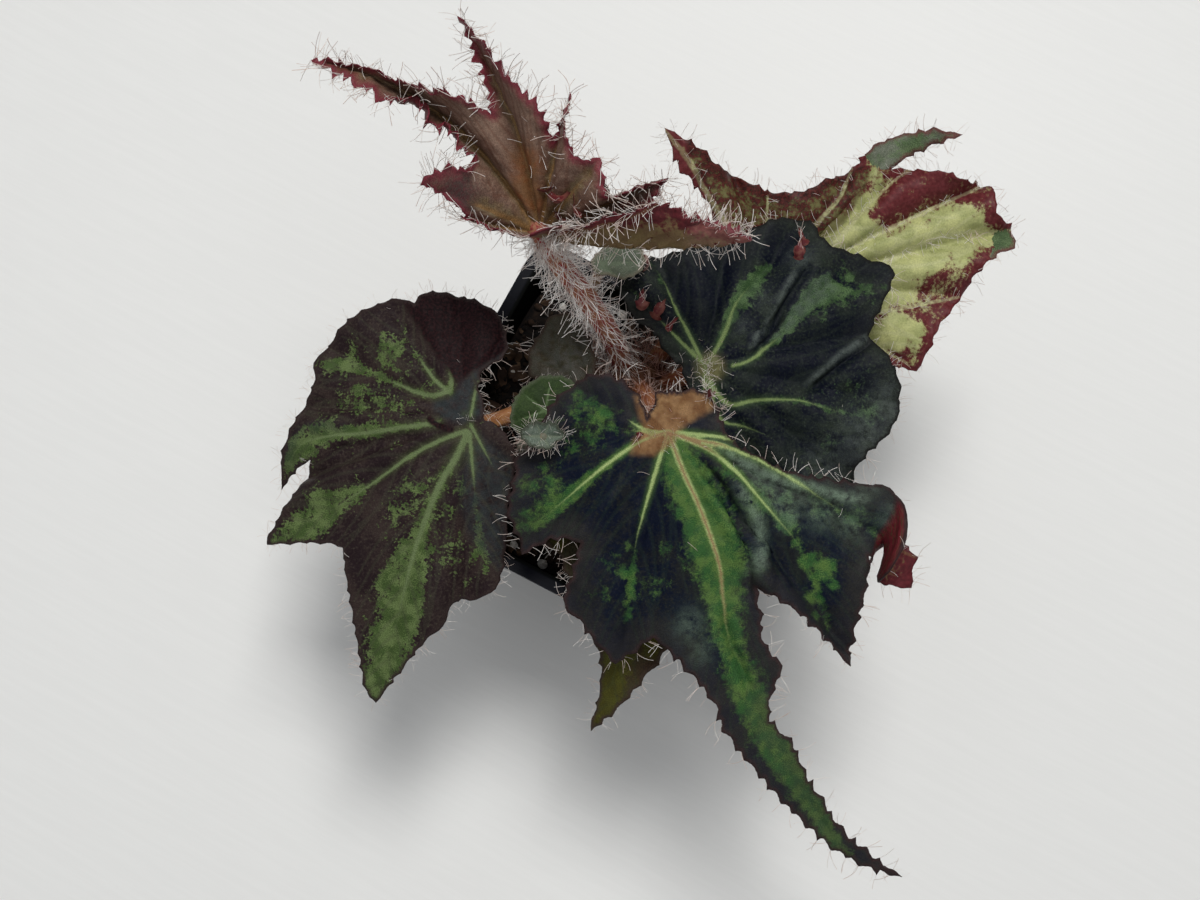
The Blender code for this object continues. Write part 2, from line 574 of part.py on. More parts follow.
def build_soil(group, coat):
    """Potting mix filling the pot, its top in lumps and a little heaped round the rhizome."""
    low = POT_FLOOR + SEAT_GAP
    slope = (POT_TOP_SIDE - POT_BASE_SIDE) / (POT_HEIGHT + POT_CUT_ROOM - POT_FLOOR)
    base_side = POT_BASE_SIDE - 2 * POT_WALL - 2 * SEAT_GAP
    top_side = base_side + slope * (SOIL_TOP - low)
    bpy.ops.mesh.primitive_grid_add(x_subdivisions=SOIL_CELLS, y_subdivisions=SOIL_CELLS, size=2.0)
    soil = bpy.context.object
    heap = turned(RHIZOME_CENTRE)
    half = top_side / 2
    shift = POT_CORNER * (1 - math.sqrt(0.5))
    for vertex in soil.data.vertices:
        u, v = vertex.co.x, vertex.co.y
        pull = 1 - (shift / half) * (abs(u) * abs(v)) ** 6
        x, y = u * half * pull, v * half * pull
        lump = noise.noise(Vector((x, y, 0.0)) * 190) + 0.7 * noise.noise(Vector((x, y, 0.1)) * 420)
        near = math.hypot(x - heap.x, y - heap.y) / HEAP_RADIUS
        edge_calm = 1 - max(abs(u), abs(v)) ** 8
        top = SOIL_TOP + SOIL_LUMP * lump * edge_calm + HEAP_HEIGHT * math.exp(-near * near)
        vertex.co = (x, y, top)
    work = bmesh.new()
    work.from_mesh(soil.data)
    border = [edge for edge in work.edges if edge.is_boundary]
    grown = bmesh.ops.extrude_edge_only(work, edges=border)["geom"]
    lower = [item for item in grown if isinstance(item, bmesh.types.BMVert)]
    for vertex in lower:
        vertex.co.x *= base_side / top_side
        vertex.co.y *= base_side / top_side
        vertex.co.z = low
    bmesh.ops.contextual_create(work, geom=[item for item in grown
                                            if isinstance(item, bmesh.types.BMEdge)])
    bmesh.ops.recalc_face_normals(work, faces=work.faces)
    work.to_mesh(soil.data)
    work.free()
    move_to(soil, group, "soil")
    soil.data.materials.append(coat)
    return soil


def build():
    for thing in list(bpy.data.objects):
        bpy.data.objects.remove(thing)
    group = collection("potted_begonia")
    guides = collection("cutters")

    build_pot(group, guides, paint("black_plastic", (0.012, 0.013, 0.018), 0.35))
    soil = build_soil(group, paint("potting_mix", (0.035, 0.022, 0.015), 0.95))
    build_rhizome(group, paint("rhizome_skin", (0.3, 0.13, 0.07), 0.7))
    rhizome_hole = rhizome_shape("rhizome_clearance", SEAT_GAP)
    move_to(rhizome_hole, guides, "rhizome_clearance")
    hide_guide(rhizome_hole)
    cut(soil, rhizome_hole)

    for key in LEAVES:
        blade = build_blade(key, group, paint("leaf_" + key, COLOURS[key], 0.45))
        stalk = build_stalk(key, group, paint("stalk_" + key, STALK_COLOURS[key], 0.6))
        cut(stalk, blade_cutter(blade, guides))
        if key in FROM_RHIZOME:
            cut(stalk, rhizome_hole)
        if key in FROM_SOIL:
            hole = add_object("hole_" + key, stalk_mesh("hole_" + key, key, SEAT_GAP), guides)
            hide_guide(hole)
            cut(soil, hole)


build()
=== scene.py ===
"""Looks of the potted begonia: fine veined blades, hairs, potting mix, dull black pot, soft light."""
import math

import bmesh
import bpy
import numpy as np
from mathutils import Matrix, Vector, noise
from mathutils.bvhtree import BVHTree
from mathutils.geometry import delaunay_2d_cdt
from mathutils.kdtree import KDTree


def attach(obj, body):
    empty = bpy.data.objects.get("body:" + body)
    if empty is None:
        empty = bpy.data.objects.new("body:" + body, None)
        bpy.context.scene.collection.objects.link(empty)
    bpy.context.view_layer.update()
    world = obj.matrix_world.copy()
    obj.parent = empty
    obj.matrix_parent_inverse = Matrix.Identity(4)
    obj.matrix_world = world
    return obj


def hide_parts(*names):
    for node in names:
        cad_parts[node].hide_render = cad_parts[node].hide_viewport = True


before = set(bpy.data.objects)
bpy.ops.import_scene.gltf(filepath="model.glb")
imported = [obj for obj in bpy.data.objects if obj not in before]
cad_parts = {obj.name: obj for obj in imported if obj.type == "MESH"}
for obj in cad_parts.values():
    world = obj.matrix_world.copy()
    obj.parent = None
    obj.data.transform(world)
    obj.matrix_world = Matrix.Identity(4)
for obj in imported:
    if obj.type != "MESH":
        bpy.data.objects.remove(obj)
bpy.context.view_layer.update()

MM = 0.001
# The foliage is laid out in mm and turned by this angle against the pot.
FOLIAGE_TURN = math.radians(27.6)
# Blades: mm between teeth, side of the lattice's triangles in mm, half the thickness in mm.
TOOTH_PITCH = 4.6
LATTICE = 0.62
HALF_BLADE = 0.22
# Leaves with fewer outline points than this are small and plain, and get a finer lattice.
SMALL_OUTLINE = 13
SMALL_LATTICE = 0.5
# Length of a stalk between two of its rings, in mm.
RING_GAP = 0.8
# Height of a row of even triangles as a share of their side.
ROW_SHARE = 0.866
# Margin: how far teeth stray along it and slant (shares), depth of the dips and the saw cuts between
# them (shares of a tooth), saw cuts in radians a mm, mm from a point over which teeth fade, mm a step.
TOOTH_STRAY = 0.34
TOOTH_SLANT = 0.5
DIP_DEPTH = 0.3
SAW_DEPTH = 0.13
SAW_RATE = 2.9
TOOTH_FADE = 6.0
MARGIN_STEP = 0.42
# Widest strip of the margin, in mm, that rolls up, and the strip over which the blade thins out.
WIDEST_ROLL = 4.6
THIN_STRIP = 1.5
# Ruffle of a blade: waves a mm, and reach in mm from which it is at its full height.
RUFFLE_RATE = 0.075
RUFFLE_REACH = 30
# A twist takes in this many degrees on each side of its rib, and fades over so many more.
TWIST_SIDE = 9
TWIST_FADE = 3
# Side veins: degrees from the main vein near the stalk, degrees less at the tip, most mm long, shares of
# each mm that go straight on and along the main vein, where the first one leaves and gaps (small, large)
# in mm.
TWIG_LEAN = 50
TWIG_LEAN_LOSS = 16
TWIG_LENGTH = 26
TWIG_KEEP = 0.93
TWIG_BEND = 0.07
TWIG_START = 5.0
TWIG_GAPS = (2.6, 5.2)
# Pale glow beside a vein and pinkish line along it, in shares of the vein's half width.
HALO_WIDTH = 2.6
BLUSH_WIDTH = 0.42
# Crimson blotches of the underside: mm over which they fade inwards from the margin.
BLOTCH_REACH = 3.6
# Ribs below the blade as a share of the vein's half width, and ridges of the side veins in mm.
RIB_HEIGHT = 0.55
TWIG_HEIGHT = 0.12
# Top of a stalk: how wide it opens into the blade and just below it, as shares of its radius.
FLARE = 1.45
NECK = 1.12
# Crimson scales: points along and across, thickness in mm, hairs on each.
SCALE_POINTS = 7
SCALE_THICKNESS = 0.16
SCALE_HAIRS = 7
# Places with this share of a vein's half width carry rib hairs.
RIB_HAIR_REACH = 0.9
# Stands for a distance in mm or in half widths that is too far to matter.
FAR = 9.0
# Painted shade: the plastic is darker within this distance of the pot's axis and above this height, inside
# the pot and below the rim: soft limits in m.
PAINTED_SHADE_SIDE = (0.0358, 0.0350)
PAINTED_SHADE_FOOT = (0.030, 0.034)
# Soil top: half side of the strewn square in m, its corners where x and y add up to more than so many
# half sides are left out, and the height in m from which the bits are dropped.
STREWN_HALF = 0.0325
STREWN_CORNER = 1.86
DROP_HEIGHT = 0.12
# Margin hairs: chance of one on a tooth and of a second beside it, mm between the places off the teeth.
TOOTH_HAIR_CHANCE = 0.95
TWIN_CHANCE = 0.45
STAND_GAP = 0.34
# Hairs in shares of their length: half thickness, and how far the tip bends over.
FRINGE_SHAPE = {"Thickness": 0.0165, "Curl": 0.34}
WOOL_SHAPE = {"Thickness": 0.0140, "Curl": 0.75}
ROOT_WOOL_SHAPE = {"Thickness": 0.0155, "Curl": 0.5}
ROOT_WOOL_COUNT = 1300
# Camera of the photo: lens and sensor in mm, aim and distance in m, height over the table in degrees.
LENS = 45
SENSOR = 36
CAMERA_AIM = (-0.0014, -0.0025, 0.070)
CAMERA_DISTANCE = 0.356
CAMERA_HEIGHT = math.radians(77)
# Lamps: name, place in m (turned with the foliage), side in m, power in watts, tone.
LAMPS = (("window", (0.11, 0.44, 1.23), 0.45, 11.0, (1.0, 0.99, 0.97)),
         ("sky_fill", (-0.9, 0.0, 1.4), 1.2, 2.6, (0.96, 0.98, 1.0)),
         ("low_fill", (0.4, -1.3, 1.0), 1.0, 3.4, (1.0, 1.0, 1.0)))
LAMP_AIM = (0, 0, 0.07)
SKY_TONE = (0.92, 0.94, 0.97, 1)
SKY_STRENGTH = 0.32

RHIZOME_CENTRE = (6.5, 16.8, 64.0)
RHIZOME_RADII = (12.0, 7.6, 6.0)

# Each leaf: junction with its stalk in mm, then ribs (bearing, reach, rise or tip vector, arch as a
# height or a vector, and where it differs the pleat up to the next rib), then the twists of lobes
# (rib, start and end in mm, degrees), then the outline (bearing, reach, 1 where it comes to a point).
LEAVES = {
    "front": {
        "junction": (13.6, -4.4, 96.0), "pleat": 0.07, "wave": 1.6, "tooth": 1.0,
        "ribs": [
            (-178, 33, -11, 1.5), (-145, 41, -13.5, 2), (-121, 44, -14.5, 2), (-101, 49, -18, 2),
            (-62, 109, -34, 4), (-49, 64, -19, 2), (-24, 65, -18, 2.5), (-11, 50, -12, 1.5),
            (20, 13, -1, 0), (75, 10, -1, 0), (118, 12, -2, 0), (150, 26, -7, 1)],
        "twists": [(6, 51, 57, 160)],
        "outline": [
            (127, 11), (130, 15.5), (137, 20.5), (147, 24), (158, 26), (168, 27.5), (182, 29.5),
            (186, 34, 1), (195, 34.5), (203, 38), (211, 39.5), (218, 41, 1), (220, 35.5),
            (226, 31), (231, 30, 1), (234, 34), (236, 39.5), (238, 43.5, 1), (245, 44.5),
            (251, 47), (257, 50.5, 1), (262, 46), (266, 43.5, 1), (270, 46), (275, 50),
            (280, 57), (281.5, 63), (284, 70), (287, 77), (290, 87), (294, 98), (296.6, 105),
            (299, 109.5, 1), (297, 102), (294.9, 92), (293.2, 81), (293, 72), (290.5, 64),
            (297, 56, 1), (295, 50), (298, 43.5), (300, 38.5, 1), (303.5, 43), (307, 52),
            (309.2, 64, 1), (315, 58.6), (320, 55.4), (325, 53.4), (330, 51, 1), (332, 56.5),
            (335.5, 61.5), (340.5, 65, 1), (343, 59), (345.5, 54.5), (349, 50, 1), (347, 43),
            (345, 36), (343, 29), (344.5, 22), (352, 15), (370, 12), (398, 12.5), (420, 11),
            (445, 9), (462, 9), (505, 5.5, 1)]},
    "right": {
        "junction": (22.5, 13.8, 86.0), "pleat": 0.07, "wave": 1.4, "tooth": 0.9,
        "ribs": [
            (-179, 6, -1, 0), (-130, 10, -3, 0), (-90, 28, -7, 0), (-60, 38, -9, 1),
            (-38, 44, -8, 1), (-10, 47, -5.5, 1.5), (12, 41, -2, 1), (33, 49, -2.5, 2),
            (57, 43, -1, 2), (78, 33, -1, 1), (112, 30, -1, 1), (133, 31, -2, 1), (158, 12, -1, 0)],
        "outline": [
            (-179, 5), (-150, 5), (-120, 7), (-95, 14), (-75, 25), (-60, 34), (-50, 39.5), (-38, 43.5, 1),
            (-33, 41.5), (-27, 42), (-20, 44.5), (-12, 46.5, 1), (-6, 45.5), (-1, 44), (5, 41.5),
            (11, 39, 1), (16, 41), (21, 45), (26, 49), (29, 50, 1), (34, 47), (39, 43.5),
            (43, 41, 1), (48, 41), (54, 43.5, 1), (60, 41), (64, 38.5), (70, 34), (77, 30.5, 1),
            (90, 28.5), (103, 27.5), (119, 29.5), (127, 30.5), (132, 31, 1), (138, 25),
            (144, 20), (145, 14), (160, 9), (175, 6)]},
    "left": {
        "junction": (-32.2, 1.8, 82.0), "pleat": 0.06, "wave": 1.2, "tooth": 0.9,
        "ribs": [
            (-164, 47, -18, 4), (-151, 55, -16, 3), (-110, 66, -20, 4), (-90, 40, -11, 1.5),
            (-72, 33, -9, 1), (-45, 17, -4, 0), (-10, 10, -1, 0), (40, 7, 0, 0), (68, 24, -1, 0.5),
            (95, 31, -2, 1), (123, 36, -3, 1), (150, 39, -6, 1), (172, 41, -9, 1.5)],
        "outline": [
            (3, 4.2), (43, 5.5), (70, 8), (72, 13), (60, 17), (66, 22), (76, 27, 1), (88, 29),
            (98, 31), (109, 32.5), (114, 31, 1), (120, 34.5), (128, 36), (140, 37.5),
            (150, 38.5), (157, 39.5, 1), (163, 37.5), (171, 39), (179, 41.5), (188, 44.5),
            (195.5, 47, 1), (192.5, 42.5), (190.5, 37.5, 1), (197, 40.5), (204, 46.5), (209, 54.5, 1),
            (214, 47.5), (220, 42), (225, 40, 1), (233, 45), (242, 54), (248, 64), (251, 66.5, 1),
            (254.5, 57), (259, 49.5), (263, 46, 1), (266, 40.5), (273, 40), (280, 38, 1),
            (284, 34), (290, 27), (298, 20.5), (312, 16.5), (328, 13), (340, 9.5), (352, 7)]},
    "young": {
        "junction": (-14.4, 36.2, 110.0), "pleat": 0.2, "wave": 2.0, "tooth": 1.2,
        "ribs": [
            (-22, 34, (28, 0, 19), (0, -2, 3), 0), (0, 46, (44.5, -4.8, 10), (0, -2, 0.5), -0.05),
            (32, 31, (27, 8, 12), 1),
            (64, 23, (12, 9.5, 16), 1), (95, 30, (6, 21.5, 20), 1), (132, 48, (-16, 38, 24), (3, 0, 2)),
            (170, 60, (-47, 32, 18), (3, 6, 3)),
            (195, 28, (-24.7, 7.6, 10), 1, 0), (220, 17, (-16.2, 2.6, 3), 0, 0),
            (262, 10, (-6, -4, 7), 0, 0), (300, 13, (5, -2, 11), 0, 0)],
        "outline": [
            (-22, 30), (-12, 36), (-4, 43), (0, 46.5, 1), (5, 42), (12, 34), (18, 27), (22, 24, 1),
            (27, 28), (32, 31.5, 1), (37, 27), (44, 22), (49, 20, 1), (56, 22), (64, 25, 1),
            (69, 23), (75, 22.5, 1), (81, 24.5), (86, 26), (90.5, 28.5), (93.5, 33, 1), (94.5, 27),
            (98, 21, 1), (104, 26.5), (109, 30), (116, 33.5), (122, 37), (126, 41.5),
            (131, 49, 1), (133, 42.5), (134.5, 37.5), (136.5, 32.5), (140.5, 27.5, 1), (148, 33),
            (157, 37.5), (165, 44), (168, 52), (170, 61, 1), (173.5, 52), (176.3, 43), (177.5, 35),
            (177.5, 28), (181, 20.5, 1), (187, 24.5), (191, 27), (195, 28.5, 1), (199, 23), (206, 18, 1),
            (214, 17), (222, 18, 1), (232, 12), (260, 8), (285, 11),
            (300, 13, 1), (312, 8), (325, 9), (332, 20)]},
    "back": {
        "junction": (39.3, 36.6, 74.0), "pleat": 0.08, "wave": 1.8, "tooth": 0.9,
        "ribs": [
            (-178, 12, 2, 0), (-120, 14, 0, 0), (-70, 26, -3, 0.5), (-29, 40, -4, 1.5),
            (-3, 47, 2, 1), (12, 60, 6, 2), (24, 55, 10, 2), (38, 54, 17, 0), (52, 33, 11, 0.5),
            (92, 21, 9, 0.5), (111, 25, 12, 0), (131, 40, 24, 1), (150, 16, 6, 0)],
        "outline": [
            (-178, 11), (-150, 10), (-115, 14), (-85, 21), (-62, 25), (-45, 29), (-35, 32),
            (-29, 40.5, 1), (-24, 40.5), (-18, 40.5), (-12, 41.5, 1), (-7, 44), (-2, 46.5, 1),
            (3, 48.5), (7, 54), (8, 58, 1), (12, 58.5), (17, 55, 1), (22, 56), (26, 52), (31, 48),
            (34, 44, 1), (37.5, 41), (41.5, 37.5, 1), (40.5, 43.5), (36.5, 54.5, 1), (40.5, 50.5),
            (45.5, 45.5), (50, 41.5), (52.5, 37), (53, 33), (56, 29.5), (61, 27), (70, 22.5, 1),
            (82, 21), (92, 21), (102, 22.5),
            (110, 25, 1), (116, 26.5), (121, 28.5), (126, 34), (130.5, 40, 1), (133, 33), (133, 25),
            (136, 18), (150, 13), (168, 11)]},
    "under": {
        "junction": (-1.4, -2.4, 80.0), "pleat": 0.06, "wave": 1.0, "tooth": 0.8,
        "ribs": [
            (-170, 10, -1, 0), (-140, 21, -2, 0.5), (-110, 30, -3, 1), (-91, 65, -21, 7),
            (-73, 50, -9, 3), (-50, 34, -4, 1), (-20, 20, -2, 0), (30, 9, 0, 0), (80, 10, 0, 0),
            (100, 31, -2, 1), (120, 30, -2, 1), (136, 23, -2, 0.5), (155, 7, 0, 0)],
        "outline": [
            (-170, 10), (-150, 17), (-130, 23), (-117, 27, 1), (-108, 28.5), (-99, 36),
            (-91, 45.5), (-89.5, 54), (-92, 65, 1), (-86.5, 60.5), (-82.5, 57), (-79, 54),
            (-75, 51.5), (-70, 48, 1), (-62, 40),
            (-50, 34, 1), (-35, 24), (-15, 15), (10, 10), (40, 8.5), (75, 8), (92, 14), (95, 23),
            (100, 30), (108, 32), (117, 30), (127, 27), (135, 23), (134, 16), (138, 9),
            (152, 6.5), (175, 8)]},
    "kidney": {
        "junction": (-14.0, 3.4, 84.0), "pleat": 0.05, "wave": 0.6, "tooth": 0.4,
        "ribs": [(-160, 8, -0.5, 0.3), (-60, 4, 0, 0), (20, 8, -0.5, 0), (80, 9, -0.5, 0.3),
                 (140, 8, -0.5, 0.3)],
        "outline": [
            (-130, 7.5), (-90, 4.5), (-40, 3.5), (0, 5), (25, 8), (45, 9.5), (68, 9), (95, 8.3),
            (132, 7.5), (165, 7.5), (200, 8.3)]},
    "bud": {
        "junction": (-14.0, -5.0, 93.5), "pleat": 0.12, "wave": 0.5, "tooth": 0.35,
        "ribs": [(0, 6, 2, 0.3), (60, 4, 3, 0), (120, 4, 3, 0), (180, 6, 2, 0.3), (240, 4, 0.5, 0),
                 (300, 4, 0.5, 0)],
        "outline": [
            (0, 5.2), (30, 4.4), (60, 3.4), (90, 3.1), (120, 3.4), (150, 4.4), (180, 5),
            (215, 3.8), (270, 2.9), (325, 4)]},
    "pale": {
        "junction": (-1.0, 37.0, 89.0), "pleat": 0.08, "wave": 0.6, "tooth": 0.4,
        "ribs": [(-40, 6, 0, 0), (0, 10, 1.5, 0.4), (40, 7, 1, 0), (110, 3, 0.3, 0),
                 (200, 2.4, 0, 0), (270, 3, 0, 0)],
        "outline": [
            (-60, 3), (-35, 6), (-15, 9), (5, 10), (25, 9), (45, 6.5), (80, 4), (130, 2.6),
            (180, 2.4), (240, 2.5)]},
}

# Stalks: radius at the foot and at the leaf, then the path in mm up to the leaf.
STALKS = {
    "front": (2.4, 2.1, [(8.2, 14.2, 66), (9.8, 8, 76), (12.5, 0, 88), (13.5, -4, 93.2),
                         (13.6, -4.4, 96)]),
    "right": (2.3, 2.0, [(13.8, 15, 65), (18, 14.6, 73), (21.8, 13.9, 80), (22.5, 13.8, 83.2),
                         (22.5, 13.8, 86)]),
    "left": (2.1, 1.8, [(0.5, 17.5, 65), (-7, 14, 67.5), (-15, 9.5, 69), (-24, 5.2, 70.5),
                        (-30, 2.6, 74), (-32, 1.9, 78.5), (-32.2, 1.8, 82)]),
    "young": (2.8, 2.2, [(4.5, 18.5, 66), (2.5, 21.5, 76), (-3, 26.5, 90), (-10.5, 32.5, 103),
                         (-14.2, 36, 108.2), (-14.4, 36.2, 109.3)]),
    "back": (2.2, 1.9, [(11, 20, 65.5), (15, 23.5, 73), (23, 28, 79.5), (32, 33, 81.5),
                        (39, 36.4, 80), (39.3, 36.6, 74.7)]),
    "under": (1.9, 1.6, [(2.6, 13, 66), (1.3, 7, 72.5), (-0.8, -1, 76.4), (-1.3, -2.3, 77.6),
                         (-1.4, -2.4, 80)]),
    "kidney": (1.3, 1.1, [(-14.5, 3, 56), (-15.5, 1.8, 72), (-14.4, 2.8, 80), (-14, 3.4, 82.2),
                          (-14, 3.4, 84)]),
    "bud": (1.2, 1.0, [(-18.5, -3, 56), (-19.4, -4, 76), (-19.2, -4.6, 87), (-16.4, -4.9, 91.2),
                       (-14, -5, 93.5)]),
    "pale": (1.3, 1.1, [(-4, 29, 56), (-4, 32, 74), (-2.4, 35.6, 83), (-1.1, 36.9, 87),
                        (-1, 37, 89)]),
}
# Main veins of each blade: half width at the base and at the tip, share of the length that shows pale,
# reaches of the green flame beside it in mm and its strengths (both spread evenly along the vein),
# then the vein's line in flat mm from the junction.
VEINS = {
    "front": [
        (0.5, 0.16, 0.35, (1.2, 2.0, 1.5), (0.6, 0.5, 0.3), [(-2, 0), (-6, 1.2), (-10, 4), (-15, 7.5),
         (-18.5, 10.5)]),
        (0.5, 0.16, 0.3, (1.2, 2.0, 2.5), (0.5, 0.45, 0.3), [(0, 0), (-7, 0.4), (-17.6, 3.2), (-24, 5)]),
        (0.62, 0.2, 0.72, (1.0, 1.0, 2.0, 1.8), (0.7, 0.8, 0.9, 0.6), [(0, 0), (-7, -2.5), (-17.6, -9.9),
         (-27.7, -17.5), (-34, -19.5)]),
        (0.62, 0.18, 0.52, (1.0, 0.8, 1.4, 1.2), (0.7, 0.6, 0.75, 0.4), [(0, 0), (-4.0, -12.5),
         (-7.0, -23.5), (-8.4, -35), (-9.6, -45)]),
        (0.85, 0.28, 0.36, (2.0, 5.2, 6.6, 6.2, 4.8, 3.6, 4.2, 3.9, 3.1, 2.5, 2.1, 1.5, 0.8),
         (0.9, 1.0, 1.0, 1.0, 0.9, 0.75, 0.95, 1.0, 1.0, 0.9, 0.85, 0.8, 0.7), [(0, 0), (3.2, -8.3),
         (6.4, -15), (9.2, -22), (11.4, -29), (12.4, -37), (15.2, -49), (22.5, -63.5), (32, -78), (42, -93),
         (51, -104)]),
        (0.7, 0.2, 0.55, (1.2, 1.8, 1.8, 1.4, 1.4), (0.5, 0.6, 0.55, 0.6, 0.4), [(0, 0), (10.8, -4.7),
         (19.8, -14), (28.5, -23.5), (31.8, -30.5), (37.9, -46.5)]),
        (0.7, 0.2, 0.6, (1.2, 1.5, 1.6, 1.2), (0.5, 0.45, 0.45, 0.3), [(0, 0), (15, -4), (23.4, -7.7),
         (48.5, -21.5), (57, -25.5)]),
        (0.5, 0.16, 0.5, (0.8, 1.0, 1.0), (0.4, 0.3, 0.2), [(2, 0), (16, -1.5), (30, -5), (46, -9.2)])],
    "right": [
        (0.62, 0.2, 0.8, (0.7, 0.7, 0.8, 1.4), (0.3, 0.4, 0.5, 0.75), [(0, 0), (-3.6, 7.6), (-6.4, 13.4),
         (-8.8, 19.6), (-11.5, 25)]),
        (0.65, 0.2, 0.6, (0.8, 1.4, 2.6, 0.9), (0.4, 0.75, 1.0, 0.35), [(0.5, 0), (3, 3.9), (4.9, 7.6),
         (7.3, 13.6), (10.2, 17.6), (14.1, 22.5), (18.5, 26.5)]),
        (0.5, 0.2, 0.3, (0.7, 0.9, 1.8, 2.8, 2.0), (0.4, 0.5, 0.55, 0.6, 0.4), [(6.5, -0.2), (9.6, 0.6),
         (13.5, 3.2), (17, 6.2), (23.1, 11.3), (29.7, 15.3), (35.5, 16.8), (42, 19.1)]),
        (0.7, 0.2, 0.7, (0.8, 0.7, 0.8, 1.2, 1.0), (0.5, 0.5, 0.5, 0.5, 0.3), [(0, 0), (2.6, -6), (6.2, -9),
         (11.6, -8), (21.5, -7.9), (26.9, -9.4), (34.4, -10.7), (41, -9.7)]),
        (0.55, 0.2, 0.5, (0.6, 0.8, 0.8), (0.4, 0.35, 0.3), [(0, -1), (3.6, -11.8), (8.9, -13.8),
         (17.2, -17.5), (29, -27)]),
        (0.5, 0.2, 0.5, (0.8, 1.0, 0.8), (0.3, 0.3, 0.3), [(0, 0), (-8, 8.5), (-14, 15.5), (-19.5, 22)]),
        (0.45, 0.2, 0.5, (0.5, 0.6), (0.3, 0.2), [(0, -1), (0.5, -12), (3, -22)])],
    "left": [
        (0.7, 0.2, 0.45, (0.8, 1.0, 1.6, 1.6, 1.0), (0.6, 0.6, 0.65, 0.7, 0.4), [(-4, 6.8), (-8.6, 6),
         (-15.7, 8.8), (-23.1, 12.4), (-30.2, 13.4), (-36, 14.5)]),
        (0.6, 0.2, 0.5, (1.0, 1.2, 0.8), (0.6, 0.5, 0.3), [(-4, 6.8), (-7.2, 9.4), (-9.8, 13),
         (-12.4, 16.7), (-17.5, 26)]),
        (0.6, 0.2, 0.4, (1.2, 0.8, 0.3), (0.6, 0.3, 0.1), [(-4, 6.8), (-3.4, 9.5), (-4.1, 12.3), (-5, 19),
         (-5, 27)]),
        (0.75, 0.3, 0.9, (1.0, 1.2, 1.6, 2.2, 2.6, 1.8), (0.6, 0.65, 0.7, 0.75, 0.95, 0.8), [(-6.6, -0.6),
         (-10, -0.9), (-15.3, -1.4), (-24.9, -2.1), (-32, -2), (-39.1, -3.3), (-43, -8.6)]),
        (0.7, 0.25, 0.65, (0.7, 0.8, 1.1, 2.0, 2.4, 1.6), (0.5, 0.5, 0.55, 0.7, 0.8, 0.7), [(0, -2.5),
         (-6, -4.7), (-12.9, -8.1), (-20, -12.8), (-29.5, -18.4), (-38.6, -22.4), (-46, -26.4)]),
        (0.95, 0.3, 0.7, (1.2, 2.0, 2.6, 4.0, 5.2, 5.2, 3.6), (0.5, 0.5, 0.6, 0.8, 0.95, 1.0, 0.9),
         [(0.4, -3), (-2.6, -9.2), (-5.8, -14.5), (-9, -22), (-12, -30.2), (-14.4, -39.2), (-17.2, -48.4),
         (-20.4, -57.3), (-22.4, -62.5)]),
        (0.6, 0.2, 0.4, (1.0, 0.9, 1.4, 1.4), (0.4, 0.35, 0.7, 0.6), [(0.8, -3), (2, -15.9), (3.2, -26.8),
         (4.7, -33.3)]),
        (0.5, 0.2, 0.5, (0.8, 0.8), (0.3, 0.2), [(1, -1), (6.6, -11.2), (11, -17)]),
        (0.5, 0.2, 0.5, (0.6, 0.5), (0.3, 0.1), [(1, 1), (3, 10), (8, 20)])],
    "back": [
        (0.9, 0.35, 0.9, (3.0, 6.0, 7.0, 5.0), (1,), [(0, 0), (19, 0.6), (27.4, 5), (41.1, 10.8),
         (57, 12)]),
        (0.7, 0.3, 0.8, (1.0, 2.0, 2.0, 1.0), (1,), [(0, 0), (12, -3.4), (24.1, -6.4), (34, -5), (45, -3)]),
        (0.7, 0.3, 0.8, (1.5, 1.5, 1.5), (1,), [(1, 1), (12, 5.5), (25, 11), (40, 17.5), (50, 22)]),
        (0.7, 0.3, 0.8, (1.0, 2.0, 1.0), (1,), [(0, 0), (14, 8), (26, 20), (41, 31.5)]),
        (0.7, 0.3, 0.9, (1.0, 2.0, 1.0), (1,), [(0, 0), (10.4, 13.4), (16.2, 19.5), (19, 26)]),
        (0.6, 0.3, 0.8, (1.0, 1.0, 1.0), (1,), [(0, 1), (-1, 10), (-1, 20)]),
        (0.8, 0.3, 0.9, (1.2, 1.4, 1.0), (1,), [(0, 1), (-6, 8), (-12.1, 13.4), (-20.1, 23.8), (-26, 30)]),
        (0.6, 0.3, 0.8, (1.0, 1.0), (1,), [(0, 0), (14, -8), (33, -18)])],
    "under": [
        (0.7, 0.3, 0.8, (1.5, 4.0, 4.5, 2.5), (1,), [(0, 0), (3, -14), (6, -30), (5, -46), (0, -64)]),
        (0.6, 0.3, 0.8, (1.2, 3.0, 2.0), (1,), [(0, 0), (5, -20), (9, -38), (12, -48)]),
        (0.6, 0.3, 0.8, (1.2, 2.0), (0.8,), [(0, 0), (-6, -14), (-10, -26)]),
        (0.6, 0.3, 0.8, (1.2, 2.0), (0.8,), [(0, 0), (10, -13), (20, -25)]),
        (0.5, 0.2, 0.5, (1.2, 2.0), (0.3,), [(0, 0), (-2, 12), (-5, 29)]),
        (0.5, 0.2, 0.5, (1.2, 2.0), (0.3,), [(0, 0), (-6, 12), (-14, 24)])]}
